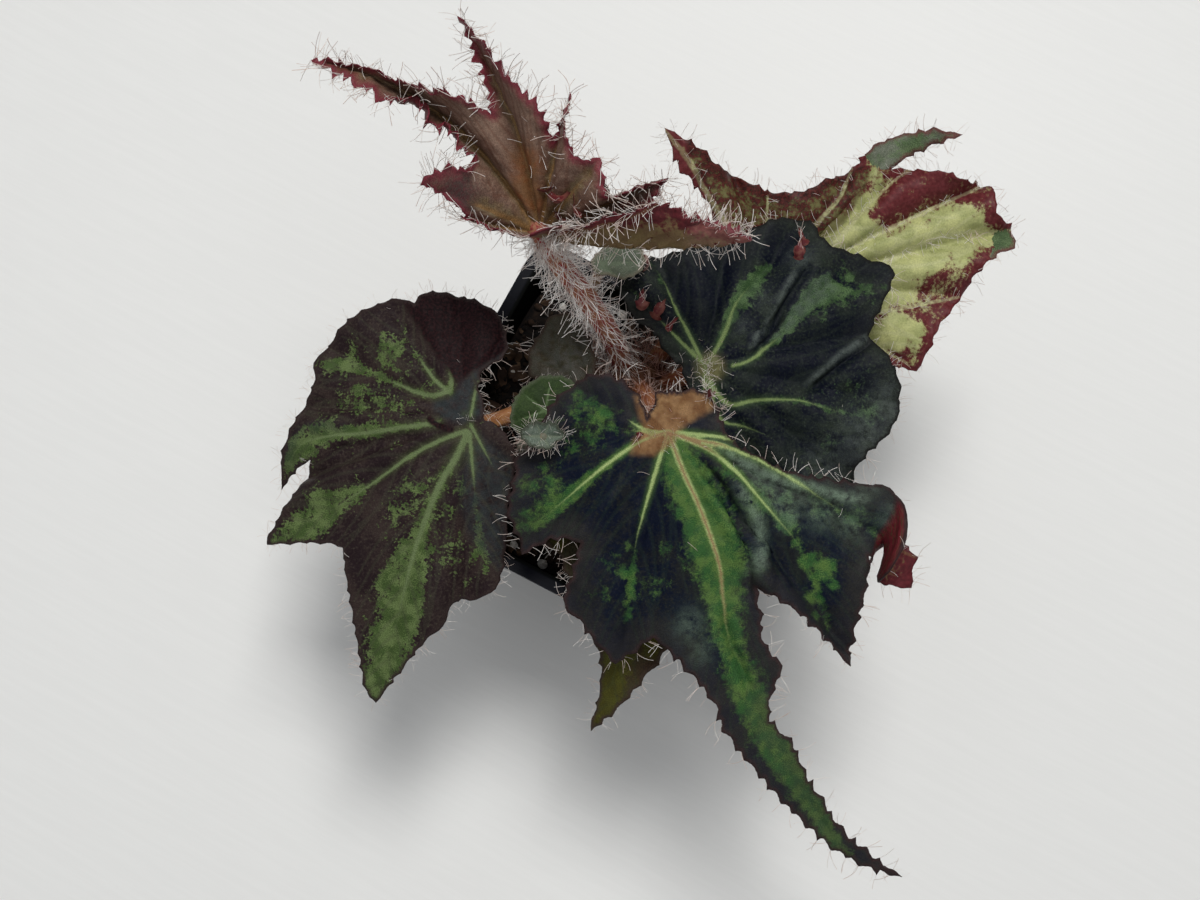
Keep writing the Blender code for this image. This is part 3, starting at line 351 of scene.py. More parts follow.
# Grooves (below zero) and raised folds of the blade's face: height in mm, half width in mm, line.
CREASES = {
    "front": [
        (-1.6, 1.2, [(6, -5), (11, -11), (13, -14), (16.2, -23.7), (17.4, -30), (19, -38)]),
        (1.6, 2.0, [(12, -8), (19.5, -18.1), (20, -29.9), (22, -40)]),
        (-0.9, 1.2, [(14, -2), (24, -5), (38, -12)]),
        (0.9, 1.3, [(7, -0.4), (13, -4), (18.4, -7.6), (26.8, -10.4), (38, -13)]),
        (-1.4, 1.0, [(12.2, -37), (13.5, -43), (16.6, -50), (18.4, -56)]),
        (0.8, 1.5, [(-10, -12), (-18, -20), (-24, -30)])],
    "right": [
        (-1.9, 1.0, [(26, 25), (22.8, 20.7), (19.9, 16.1), (16.4, 10), (13.2, 4.9), (11, 2)]),
        (1.0, 1.8, [(23, 24), (18, 17), (13.5, 10.5), (9, 4.5)]),
        (-1.8, 0.9, [(44, 10), (39, 6.3), (33.5, 2.3), (28, -2.8), (23.1, -6.5)]),
        (0.9, 2.0, [(43, 3), (36, -1.5), (28, -6)])],
    "left": [
        (1.0, 1.6, [(-8, 3), (-20, 1.8), (-32, 1.5), (-40, -1)]),
        (-1.0, 1.5, [(-10, -3), (-22, -4.5), (-34, -6)])],
    "back": [(-1.4, 1.6, [(8, 8), (17, 16), (24, 26)]), (1.2, 2.0, [(12, 6), (24, 15), (33, 24)])]}
# Soft round patches of each look: x, y, reach in mm, strength. Sheen patches are painted light.
PATCHES = {
    "front": {
        "green": [
            (-17.6, 8.4, 4.7, 0.62), (-14.3, 4.7, 3.3, 0.75), (-20, 6.5, 2.8, 0.5), (-12, 2.3, 2.3, 0.7),
            (-16.8, -0.3, 4.7, 0.45), (-21.2, -2.3, 3.7, 0.4), (-25.3, -9.5, 4.7, 0.5),
            (-30, -10.4, 3.7, 0.5), (-21.6, -12.3, 2.8, 0.7), (-26.3, -14.3, 3.7, 0.58),
            (-30.8, -17.5, 2.8, 0.6), (-8.4, -24, 1.9, 0.85), (-9.2, -29.6, 2.1, 0.65),
            (-12.2, -27, 2.8, 0.4), (-15, -33.2, 2.8, 0.35), (-8.8, -36.4, 2.1, 0.55),
            (-0.9, -24.1, 2.8, 0.45), (-2.8, -32.5, 3.7, 0.38), (20, -14.3, 4, 0.72),
            (25.6, -18.8, 3.5, 0.6), (30.6, -27, 2.1, 0.9), (34.1, -28.8, 3.0, 0.95),
            (36.2, -31.7, 1.8, 0.6), (31.9, -35, 2.0, 0.85), (32.4, -38.9, 1.5, 0.7), (20, -12, 3, 0.45),
            (26, -13.5, 3, 0.5), (34, -15.5, 3.5, 0.5), (42, -18, 3.5, 0.4), (14.6, -27.4, 2.8, 0.6),
            (11.9, -8.1, 2.3, 0.5), (21.8, -6.7, 2.3, 0.35)],
        "night": [
            (0.9, -20.9, 2.1, 0.9), (-6.3, -22.9, 3.7, 0.8), (-3, -14.5, 2.3, 0.7), (-15, 12, 3.3, 0.9),
            (-10, 3.1, 2.0, 0.8), (-9.3, 8.8, 2.8, 0.9), (-21.4, -7.4, 2.1, 0.6), (-9.4, -42.6, 2.8, 0.8),
            (-2.5, -43.7, 3.3, 0.6), (39.7, -44, 3.3, 0.9), (22.4, -22.8, 2.3, 0.6), (4, -38, 2.8, 0.7)],
        "painted_sheen": [
            (50, -18, 4, 0.4), (45, -9, 3.5, 0.4), (4.9, -40.7, 3.6, 0.42), (7.5, -46, 3, 0.35),
            (27, -12.5, 4.5, 0.5), (34, -15.5, 4.5, 0.55), (41, -18.5, 4, 0.45)],
        "dusk": [
            (51, -105, 7, 1.0), (46, -97, 5, 0.85), (40, -88, 3, 0.4), (26, -64, 3, 0.35),
            (16.5, -52, 2.4, 0.35)],
        "blotch": [(50, -20, 8, 1.0), (58, -27, 10, 1.0)]},
    "right": {
        "green": [
            (10.1, 17.7, 3.0, 0.95), (8.6, 15, 2.4, 0.9), (12.5, 20.3, 2.2, 0.8), (5.5, 11.4, 1.9, 0.7),
            (28, 15.6, 3.2, 0.6), (34, 21.5, 3.0, 0.7), (37.7, 18.5, 2.4, 0.75), (27.6, 9.9, 3.2, 0.5),
            (19.9, 2.9, 2.6, 0.42), (-0.8, 11.4, 2.6, 0.34), (-2.5, 20, 2.6, 0.3), (16.1, -12.4, 3.4, 0.42),
            (24.5, -14, 3.4, 0.42), (33.5, -3.1, 5, 0.42), (38.3, -9.7, 4.2, 0.5), (29, -17, 3, 0.4),
            (-8.9, 20.7, 1.9, 0.5), (8, -13, 2, 0.35)],
        "night": [
            (1.7, 17.7, 3.4, 0.9), (-6, 26, 5, 0.9), (15.5, 30, 5, 0.9), (38.5, 23.5, 3.2, 0.9),
            (33.8, 8, 3.4, 0.9), (26, 4.6, 4.2, 1.0), (31, 1.6, 4.2, 0.9), (21.7, -1.6, 3.2, 0.7),
            (17.2, -17.6, 4, 0.6), (11, -5, 3, 0.6)],
        "painted_sheen": [
            (43, -8, 6, 0.6), (36, -15, 6, 0.55), (28, -22, 6, 0.45), (8.4, 8.4, 3, 0.3),
            (14, 15.5, 3, 0.3), (22.5, 25, 3, 0.5)],
        "glow": [(1.5, -0.5, 4.0, 1.0)],
        "dusk": [(-6, 22, 6, 0.4), (-15, 12, 7, 0.7)]},
    "left": {
        "green": [
            (-29.1, 14.6, 3, 0.9), (-32.6, 14, 2.4, 0.75), (-17.6, 17.6, 3.6, 0.66),
            (-13.4, 11.6, 2.6, 0.5), (-27, 18, 4, 0.42), (-25.8, 6.2, 4, 0.6), (-19.4, 5, 3.4, 0.52),
            (-13, 5, 2.4, 0.4), (-8, 9, 2.2, 0.5), (-32, -1.2, 3.7, 0.7), (-21.1, -1.1, 2.3, 0.6),
            (-37.8, -4.6, 3.3, 0.9), (-16.4, -5.5, 1.9, 0.4), (-33.5, -18.6, 4.4, 0.95),
            (-26.4, -16.2, 3.3, 0.75), (-39.3, -23.4, 3.6, 0.95), (-34, -24, 2.4, 0.6),
            (-13.7, -19.3, 3.3, 0.45), (-12.9, -33.7, 4, 0.9), (-16.2, -40.2, 4.7, 1), (-19.1, -49.2, 4, 1),
            (-20.4, -56.8, 3.3, 0.95), (-9.4, -28.2, 3.3, 0.7), (-5.7, -20.4, 3.7, 0.48),
            (-1.4, -15.9, 3.7, 0.42), (2.3, -29.5, 2.6, 0.6), (-0.4, -35.9, 2.1, 0.4)],
        "night": [
            (-31.3, -11.9, 3.3, 0.5), (-18.8, -11.1, 3.7, 0.6), (-24.1, -31.1, 3.7, 0.5),
            (-3.6, -7.1, 2.3, 0.7), (-30.4, 20.4, 2.8, 0.4), (-13.2, 9.7, 2.1, 0.4),
            (-6.2, -39.9, 2.8, 0.5), (5.6, -18, 2.3, 0.4)],
        "glow": [(-0.5, 1.5, 1.6, 0.6)]},
    "back": {
        "green": [(22, 25.5, 5, 0.6), (33, 30, 7, 0.6), (42, 34, 6, 0.4), (55, 8, 5, 0.6)],
        "blotch": [
            (50.5, 7.6, 2.3, 0.6), (30.4, 12, 1.4, 0.5), (36.4, 13.6, 1.6, 0.5), (26.3, -1.2, 1.9, 0.3),
            (42.4, 6.3, 1.6, 0.42), (33, 9.4, 1.2, 0.4), (-16, 23, 3, 0.75), (30, 23, 4, 1.0),
            (46, 21, 3, 1.0)],
        "glow": [(0, 0, 6, 0.5)]},
    "under": {
        "green": [(-6, 22, 9, 0.5), (3, -52, 5, 0.6)],
        "glow": [(0, 0, 3, 0.6)],
        "dusk": [(12, -52, 4, 0.9), (-6, -48, 5, 0.7)],
        "painted_sheen": [(-7, 20, 12, 1.0)]},
    "young": {
        "green": [(-52, 10, 9, 0.9), (-28, 4, 3, 0.6), (2, 6, 3, 0.8), (24, -2, 6, 0.5)],
        "glow": [(-6, 7, 7, 1.0), (-9, 13, 7, 0.9), (3, 8, 4, 0.4)],
        "dusk": [(-19, -6, 6, 0.9), (38, -2, 6, 1.0), (44, 0, 5, 1.0), (-26, -9, 6, 0.7)],
        "painted_sheen": [(-16, 22, 6, 0.6), (-30, 8, 7, 0.4), (-44, 8, 7, 0.5), (2, 21, 5, 0.5), (20, 13, 7, 0.8)],
        "night": [
            (-12, 11, 2.4, 0.7), (-15, 15, 3, 0.6), (-24, 17, 3, 0.5), (-20, -3, 3, 0.4), (-4, 25, 4, 0.5)],
        "blotch": [
            (-26, 1, 6, 1.0), (-19, 0.5, 6, 1.0), (-40, 4, 9, 0.7), (-24, 16, 9, 0.8), (-28, 30, 9, 0.8),
            (0, 26, 8, 1.0), (12, -9, 5.5, 1.0), (20, -9.5, 5.5, 1.0), (27, -9.5, 5, 1.0), (34, -8, 4, 1.0),
            (40, -5, 3.5, 0.9), (20, 12, 8, 0.9)]}}
# Soft-edged areas of each look: look, strength, softness in mm, closed line. Sheen areas are painted light.
AREAS = {
    "front": [
        ("ruby", 1.0, 1.2, [(57, -4), (50.6, -14), (46.8, -22), (44.8, -26), (47.5, -31), (60, -40),
         (75, -20), (72, 0)]),
        ("glow", 1.0, 4.0, [(-7.5, 8.5), (-1.3, 12), (6, 12), (13, 9), (11, 5.6), (6.8, 3.2), (3.0, 0.6),
         (1.0, -3), (-3.4, -5.4), (-8.4, -4.8), (-7.6, -1.2), (-5.6, 0.6)])],
    "right": [
        ("night", 0.9, 4.0, [(-15, 28), (-10, 23), (-7, 15.5), (-3.4, 9.5), (1, 6), (3.4, 11), (6, 16),
         (9, 21.5), (13.5, 27), (18, 33), (4, 34), (-8, 33)]),
        ("night", 0.75, 3.0, [(15, 1.0), (21, 5.6), (29, 11.6), (38, 13.5), (42, 10), (38.5, 7),
         (30.5, 0.4), (23, -4.6), (13, -5), (10, -3)]),
        ("night", 0.5, 3.0, [(8, -10.5), (20, -10.5), (27, -12.5), (25, -20), (14, -17)]),
        ("green", 0.82, 2.4, [(12, 1.6), (15.5, 6.2), (20, 13), (24.6, 19.6), (29, 22), (33.5, 18.6),
         (28, 14.6), (22.5, 10.3), (17, 4.8)]),
        ("painted_sheen", 0.5, 2.4, [(15, 5.4), (20, 12.8), (24.6, 19.6), (29, 22), (31, 18), (24, 13),
         (18, 6.6)])],
    "left": [
        ("green", 0.74, 2.2, [(-7.3, -22.3), (-11.1, -23.8), (-14.8, -27.3), (-17.7, -31.6), (-20.9, -35.3),
         (-20.6, -39.8), (-19.4, -42.6), (-22.5, -48.4), (-23.3, -55.1), (-22.6, -60.5), (-20.1, -60),
         (-16.1, -53.2), (-15.3, -50.5), (-12.4, -48.8), (-10, -43.1), (-8.9, -35.3), (-8.9, -28.1)]),
        ("green", 0.66, 2.2, [(-20.7, -12.9), (-26, -14.3), (-31.1, -15.1), (-35.3, -16.9), (-38, -19.6),
         (-40, -22), (-44.2, -24.9), (-44.8, -26.1), (-38, -26.2), (-34, -25.7), (-29.2, -21.6),
         (-27.6, -18.5), (-22.8, -15.9)]),
        ("green", 0.70, 1.8, [(-14.5, 0.1), (-23.9, 0.1), (-31.7, 0.3), (-38.3, 0.9), (-41.6, -1.7),
         (-43.1, -7.3), (-43.9, -11.1), (-41.2, -8.2), (-36.4, -4.4), (-31.8, -2.6), (-23.8, -2.3),
         (-15.1, -0.9)]),
        ("green", 0.52, 2.4, [(-21, 21.4), (-17.4, 22.2), (-15.8, 19), (-16.1, 14), (-13, 10.6),
         (-18.8, 12), (-21.2, 16)]),
        ("green", 0.58, 2.2, [(-31.2, 14.8), (-29.7, 16.9), (-26.2, 16.7), (-23.4, 13.8), (-24.4, 12),
         (-29.7, 12.1)]),
        ("green", 0.41, 5.0, [(-30.4, 8.5), (-24.1, 10.5), (-15.5, 7.9), (-9.7, 2), (-16.8, 0.7),
         (-26.4, 1.1), (-30.6, 3.3)]),
        ("green", 0.41, 5.0, [(-15.9, -11.6), (-8.7, -11.1), (-6.5, -16.4), (-10.3, -22.3), (-15.4, -25),
         (-19.1, -27.9), (-19.3, -20.6)]),
        ("green", 0.41, 4.0, [(-7.3, -25.2), (-1.4, -25), (0, -30.1), (-3.1, -34.5), (-7.4, -32.2)]),
        ("dusk", 1.0, 4.0, [(-17.6, 32), (-6.7, 34), (4, 31), (12, 22), (9, 16), (2.5, 11.8), (-2.6, 8.6),
         (-6.8, 14.4), (-11.2, 21.3)]),
        ("painted_sheen", 1.0, 2.0, [(-7.8, 4.6), (-7, 1.6), (-3.6, -0.2), (-0.9, -0.9), (2.5, 0.4), (4.2, 2.2),
         (8, 5), (12, 13), (7.1, 16), (1.5, 11.6), (-2.6, 6.4), (-5, 5)]),
        ("painted_sheen", 0.85, 4.0, [(3, -3), (12, -10), (14, -24), (8, -34), (1, -26), (-1.6, -17), (0, -8)])],
    "back": [
        ("dusk", 1.0, 3.0, [(-23, 30), (-13.6, 26), (-3.2, 23), (6.8, 23), (14, 27), (23, 26), (22.4, 20.4),
         (17, 13), (9, 8), (0, 6), (-8, 6), (-14, 13)]),
        ("blotch", 0.62, 4.0, [(-26, 32), (-13.6, 28), (-3.2, 25), (6.8, 25), (14, 29), (25, 30),
         (24, 20.4), (17, 14), (9, 10), (0, 8), (-8, 7), (-14, 13)]),
        ("blotch", 0.86, 5.0, [(22.6, 15.3), (25.6, 20.3), (28.7, 27), (33, 30), (38, 25.3), (43, 24),
         (50, 23), (54, 18.3), (51.6, 15.5), (47.8, 17), (42.3, 17), (36.4, 16), (31.6, 13.2),
         (27.1, 11.4)]),
        ("blotch", 0.66, 4.0, [(32.7, 1.3), (39.2, 3.6), (47.9, 4.9), (50, 1), (44.7, -5), (40, -12),
         (38, -17), (34, -20), (27, -18), (24, -15), (30.4, -14), (35.2, -12.6), (35, -9.5), (30.3, -7),
         (24.7, -9), (23.3, -6.8), (30.4, -4.4), (35.1, -3.6), (34.2, -1.4)])]}
# Streaks along folds, painted light or painted shade: look, strength, half width in mm, line.
STREAKS = {
    "front": [
        ("painted_sheen", 1.0, 1.3, [(7.1, -0.4), (13.2, -4.1), (18.4, -7.6), (26.8, -10.4), (38.2, -13),
         (47, -13)]),
        ("painted_sheen", 0.8, 1.5, [(13.7, -9.7), (17.5, -14.5), (20.1, -20.7), (19, -27.4), (16.9, -32.2)]),
        ("painted_sheen", 0.5, 3.0, [(17.5, -7.9), (23.4, -14.3), (28.8, -20.4)])],
    "right": [
        # Painted shadow in the grooves (night) and painted highlight on the folds beside them (sheen).
        ("night", 1.0, 1.0, [(26, 25), (22.8, 20.7), (19.9, 16.1), (16.4, 10), (13.2, 4.9), (11, 2)]),
        ("painted_sheen", 0.85, 0.7, [(22, 23), (20.6, 20.6), (17.6, 15.6), (14.4, 10.4), (11.4, 5.2), (9.4, 2.4)]),
        ("night", 1.0, 0.9, [(42.5, 9), (39, 6.3), (33.5, 2.3), (28, -2.8), (23.1, -6.5)]),
        ("painted_sheen", 0.8, 0.7, [(41, 9.4), (37.6, 7), (32.2, 3.3), (26.6, -1.6), (22, -5)])],
    "left": [
        ("painted_sheen", 0.5, 1.4, [(-26, -0.5), (-35.6, 0), (-41, -2.5), (-44, -9)]),
        # The dusk line is a painted shadow along the edge of the overlapping basal lobe by the stalk.
        ("dusk", 1.0, 1.0, [(-9.4, 1.6), (-7.4, -0.6), (-5, -1.7), (-2, -2.6)])]}
# Pinkish line along the middle of a vein: which vein, how far along it.
BLUSHES = {"front": ((4, 0.42), (5, 0.22), (3, 0.12), (6, 0.26), (2, 0.14))}
# Margins that roll up and inwards: x, y, reach in mm, amount.
CURLS = {
    "young": [
        (-27, 3, 4.5, 1.0), (-20, 1.5, 4.5, 1.0), (-36, 3, 5, 0.95), (-27, 29, 5, 0.4), (-31, 24, 4, 0.4),
        (18, -10, 5, 0.4), (27, -12, 4, 0.55), (36, -8, 3.5, 0.45)],
    "front": [
        (-36, -14, 6, 0.35), (-30, 0, 6, 0.3), (14, -58, 8, 0.3), (28, -52, 7, 0.35), (38, -90, 8, 0.25)],
    "left": [(-43, 3, 6, 0.35), (-44, -12, 4, 0.4)],
    "back": [(42, -12, 7, 0.3), (50, 2, 6, 0.3), (0, 22, 7, 0.3), (45, 25, 7, 0.3)],
    "bud": [(4, -1, 4, 0.9), (2, 4, 3, 0.5)]}
LOOSE_CURL = {"front": 0.16, "right": 0.10, "left": 0.08, "young": 0.34, "back": 0.2, "under": 0.1}
# How much closer or flatter the fine teeth are than the main form's: pitch share, depth share.
TOOTH_LOOK = {
    "left": (0.8, 0.55), "right": (0.9, 0.7), "back": (0.8, 0.8), "front": (0.85, 0.95),
    "young": (0.6, 1.4)}
# Teeth that stand up as small crimson scales: blade, flat place, heading in degrees, length in mm.
SCALES = (
    ("right", 21.8, 24.5, 80, 6.4), ("right", 23.6, 28.0, 110, 5.0), ("right", -12.5, 23.5, 150, 5.4),
    ("right", -14.5, 13.2, 100, 6.6), ("right", -11.5, 10.6, 60, 7.0), ("right", -9.0, 9.0, 20, 4.6),
    ("front", 9.5, 10.5, 70, 5.8), ("front", 11.4, 8.6, 100, 4.8), ("front", -6.2, 0.2, -100, 3.0),
    ("young", 30, 3.2, -60, 5.0), ("young", 34, 2.6, -75, 4.6), ("young", 38, 2.0, -70, 4.2),
    ("young", 25, 3.8, -80, 4.4), ("young", 41.5, 1.2, -60, 3.6), ("young", -1.5, 9.5, 110, 5.4),
    ("young", 3.8, 10.6, 95, 6.6), ("young", 7.5, 9.4, 60, 6.2), ("young", 10.5, 7.3, 100, 5.6),
    ("young", 13.5, 9.4, 75, 6.6), ("young", 17.4, 8.2, 50, 6.0), ("young", 4, 6.0, 60, 5.0),
    ("young", 20.6, 6.6, 70, 5.4), ("young", 28, 5.2, 80, 5.0), ("young", 34, 4.0, 70, 4.4))
# Blades that lie face down; in these places their green face is curled up: x, y, reach, strength.
TURNED_OVER = {
    "back": [
        (27, 29.5, 4.5, 1.0), (33, 31, 4.5, 1.0), (39, 33, 5, 1.0), (45, 35, 6, 1.0), (55.5, 9.5, 3.0, 1.0),
        (54, 6, 2.4, 1.0)]}


# what every mesh needs
def lay_values(mesh, name, values, kind="FLOAT"):
    """Gives each point of a mesh one value, or one vector, under a name."""
    layer = mesh.attributes.new(name, kind, "POINT")
    layer.data.foreach_set("value" if kind == "FLOAT" else "vector", np.asarray(values, np.float32).ravel())


def link_up(name, mesh, *coats):
    """A new object of the scene, with its materials."""
    for coat in coats:
        mesh.materials.append(coat)
    piece = bpy.data.objects.new(name, mesh)
    bpy.context.scene.collection.objects.link(piece)
    return piece


# shape of the blades
def polar(bearing, reach):
    angle = math.radians(bearing)
    return np.array([reach * math.cos(angle), reach * math.sin(angle)])


def soft(value):
    value = np.clip(value, 0.0, 1.0)
    return value * value * (3 - 2 * value)


def in_frame(spots):
    """Foliage positions in mm, carried into the pot's frame in metres."""
    turn = np.array(Matrix.Rotation(FOLIAGE_TURN, 3, "Z"))
    return np.asarray(spots) @ turn.T * MM


def wander(spots, scale, seed):
    """Smooth random values, one for each spot."""
    return np.array([noise.noise(Vector((s[0] * scale, s[1] * scale, seed))) for s in spots])


def bent(start, lead_in, end, lead_out, t):
    """A place on the smooth curve from start to end that follows a lead at each of them."""
    return (start * (2 * t**3 - 3 * t**2 + 1) + lead_in * (t**3 - 2 * t**2 + t)
            + end * (3 * t**2 - 2 * t**3) + lead_out * (t**3 - t**2))


def outline_runs(rows):
    """The outline split at its points, each part a dense smooth run of flat positions."""
    spots = [polar(row[0], row[1]) for row in rows]
    sharp = [len(row) == 3 for row in rows]
    count = len(rows)
    first = sharp.index(True) if True in sharp else 0
    runs = []
    run = [spots[first]]
    for step in range(count):
        i = (first + step) % count
        j = (i + 1) % count
        start, end = spots[i], spots[j]
        lead_in = (end - start) if sharp[i] else (end - spots[i - 1]) * 0.5
        lead_out = (end - start) if sharp[j] else (spots[(j + 1) % count] - start) * 0.5
        run += [bent(start, lead_in, end, lead_out, k / 12) for k in range(1, 13)]
        if sharp[j] or step == count - 1:
            runs.append(np.array(run))
            run = [run[-1]]
    return runs


def toothed_margin(rows, pitch, depth):
    """Margin of a blade: hollow-sided pointed teeth with small saw cuts, and where hairs can stand."""
    edge = []
    stands = []
    number = 0
    for run in outline_runs(rows):
        sides = np.diff(run, axis=0)
        steps = np.linalg.norm(sides, axis=1)
        lengths = np.concatenate([[0.0], np.cumsum(steps)])
        whole = lengths[-1]
        knots = 2 * max(1, round(whole / pitch))
        out = np.zeros(knots + 1)
        along = np.zeros(knots + 1)
        place = np.arange(knots + 1.0)
        for k in range(1, knots):
            place[k] += TOOTH_STRAY * math.sin((number + k) * 5.3)
            target = whole * place[k] / knots
            calm = soft((min(target, whole - target) + 1.0) / TOOTH_FADE)
            if k % 2:
                number += 1
                out[k] = depth * calm * (0.35 + 0.6 * abs(math.sin(number * 2.4)))
                along[k] = out[k] * TOOTH_SLANT
            else:
                out[k] = -depth * calm * DIP_DEPTH
        fine = max(3, math.ceil(whole / knots / MARGIN_STEP))
        u = np.arange(knots * fine) / fine
        k = u.astype(int)
        f = u - k
        u = place[k] * (1 - f) + place[k + 1] * f
        weight = np.where(k % 2 == 0, f, 1 - f) ** 1.5
        tip = np.where(k % 2 == 0, k + 1, k)
        dip = np.where(k % 2 == 0, k, k + 1)
        target = whole * u / knots
        saw = SAW_DEPTH * depth * soft(np.minimum(target, whole - target) / 4)
        saw = saw * np.abs(np.sin(target * SAW_RATE))
        push = out[tip] * weight + out[dip] * (1 - weight) + saw
        slide = along[tip] * weight
        part = np.clip(np.searchsorted(lengths, target, "right") - 1, 0, len(sides) - 1)
        way = sides[part] / steps[part][:, None]
        normal = np.stack([way[:, 1], -way[:, 0]], -1)
        base = np.stack([np.interp(target, lengths, run[:, 0]), np.interp(target, lengths, run[:, 1])], -1)
        spots = base + normal * push[:, None] + way * slide[:, None]
        edge.extend(spots)
        for i in range(len(spots)):
            stands.append((spots[i], normal[i], 1.0 if f[i] == 0 and k[i] % 2 else 0.0))
    return np.array(edge), stands


def inside(spots, edge):
    """True for each spot that lies within the closed outline."""
    after = np.roll(edge, -1, 0)
    rise = after[:, 1] - edge[:, 1]
    rise = np.where(np.abs(rise) < 1e-12, 1e-12, rise)
    answer = []
    for part in np.array_split(spots, max(1, len(spots) // 2500)):
        x, y = part[:, :1], part[:, 1:]
        spans = (edge[:, 1] > y) != (after[:, 1] > y)
        crosses = x < edge[:, 0] + (after[:, 0] - edge[:, 0]) * (y - edge[:, 1]) / rise
        answer.append((spans & crosses).sum(1) % 2 == 1)
    return np.concatenate(answer)


def near_line(spots, line):
    """For each spot its distance from a line of points, and how far along the line that is, 0 to 1."""
    line = np.asarray(line, float)
    start, side = line[:-1], np.diff(line, axis=0)
    length = np.linalg.norm(side, axis=1)
    before = np.concatenate([[0.0], np.cumsum(length)])
    away = spots[:, None, :] - start[None]
    t = np.clip((away * side).sum(-1) / (length**2), 0, 1)
    far = np.linalg.norm(away - side * t[..., None], axis=-1)
    best = far.argmin(1)
    row = np.arange(len(spots))
    return far[row, best], (before[best] + t[row, best] * length[best]) / before[-1]


def nearest(spots, cloud):
    """For each spot how far the closest of a cloud of points is, and which one it is."""
    tree = KDTree(len(cloud))
    for i, spot in enumerate(cloud):
        tree.insert((spot[0], spot[1], 0.0), i)
    tree.balance()
    found = [tree.find((s[0], s[1], 0.0))[1:] for s in spots]
    return np.array([item[1] for item in found]), np.array([item[0] for item in found])


def rib_spot(rib, reach):
    bearing, length, tip, arch = rib[:4]
    if not isinstance(tip, tuple):
        tip = (*polar(bearing, length), tip)
    if not isinstance(arch, tuple):
        arch = (0, 0, arch)
    part = (reach / length)[:, None]
    return np.array(tip) * part + np.array(arch) * 4 * part * (1 - part)


def unit(vectors):
    return vectors / np.maximum(np.linalg.norm(vectors, axis=-1, keepdims=True), 1e-12)


def turn_about(vectors, axis, angle):
    c, s = np.cos(angle)[:, None], np.sin(angle)[:, None]
    axis = np.broadcast_to(axis, vectors.shape)
    return vectors * c + np.cross(axis, vectors) * s + axis * (vectors * axis).sum(-1)[:, None] * (1 - c)


def blade_spots(leaf, flat):
    """Flat positions carried out to their places in space between the ribs, in mm."""
    ribs = leaf["ribs"]
    flat = np.asarray(flat, float)
    reach = np.maximum(np.hypot(flat[:, 0], flat[:, 1]), 1e-6)
    first = ribs[0][0]
    bearing = first + (np.degrees(np.arctan2(flat[:, 1], flat[:, 0])) - first) % 360
    sector = np.searchsorted([rib[0] for rib in ribs], bearing, "right") - 1
    spot = np.zeros((len(flat), 3))
    ruffle = leaf["wave"] * np.minimum(1.0, reach / RUFFLE_REACH) ** 2 * wander(flat, RUFFLE_RATE, 3.7)
    for k, low in enumerate(ribs):
        here = sector == k
        if not here.any():
            continue
        high = ribs[(k + 1) % len(ribs)]
        share = ((bearing[here] - low[0]) / ((high[0] - low[0]) % 360))[:, None]
        a, b = rib_spot(low, reach[here]), rib_spot(high, reach[here])
        la, lb = np.linalg.norm(a, axis=1)[:, None], np.linalg.norm(b, axis=1)[:, None]
        angle = np.maximum(np.arccos(np.clip((a * b).sum(1)[:, None] / (la * lb), -1, 1)), 1e-4)
        way = (a / la * np.sin((1 - share) * angle) + b / lb * np.sin(share * angle)) / np.sin(angle)
        up = unit(np.cross(a, b))
        pleat = low[4] if len(low) > 4 else leaf["pleat"]
        lift = pleat * reach[here] * np.sin(math.pi * share[:, 0]) + ruffle[here]
        spot[here] = way * (la + (lb - la) * share) + up * lift[:, None]
    for index, start, end, turn in leaf.get("twists", []):
        rib = ribs[index]
        off = np.radians((bearing - rib[0] + 180) % 360 - 180)
        near = 1 - soft((np.abs(np.degrees(off)) - TWIST_SIDE) / TWIST_FADE)
        along = reach * np.cos(off)
        amount = soft((along - start) / (end - start)) * near * (np.abs(off) < 0.4)
        axis = unit(rib_spot(rib, np.array([rib[1]], float)))[0]
        centre = rib_spot(rib, along)
        swung = centre + turn_about(spot - centre, axis, np.radians(turn) * amount)
        spot = np.where(amount[:, None] > 0, swung, spot)
    return np.array(leaf["junction"]) + spot


def even_line(line, step):
    line = np.asarray(line, float)
    lengths = np.concatenate([[0.0], np.cumsum(np.linalg.norm(np.diff(line, axis=0), axis=1))])
    places = np.linspace(0, lengths[-1], max(2, int(lengths[-1] / step)) + 1)
    return np.stack([np.interp(places, lengths, line[:, 0]), np.interp(places, lengths, line[:, 1])], -1)


def rounded(line):
    """A smooth line through the given points."""
    line = np.asarray(line, float)
    if len(line) < 3:
        return line
    ahead = np.gradient(line, axis=0)
    full = [bent(line[i], ahead[i], line[i + 1], ahead[i + 1], t)
            for i in range(len(line) - 1) for t in np.arange(0, 1, 0.2)]
    return np.array(full + [line[-1]])


def main_veins(key):
    leaf = LEAVES[key]
    if key in VEINS:
        return [(*row[:-1], rounded(row[-1])) for row in VEINS[key]]
    small = len(leaf["outline"]) < SMALL_OUTLINE
    wide = 0.35 if small else 0.75
    reaches = (0.5, 0.5) if small else (1.0, 2.0, 1.0)
    veins = []
    for rib in leaf["ribs"]:
        if rib[1] > (2.9 if small else 12):
            line = [polar(rib[0], rib[1] * t) for t in (0.02, 0.25, 0.5, 0.75, 0.97)]
            veins.append((wide, wide * 0.35, 0.8, reaches, (0.8, 0.6), np.array(line)))
    return veins


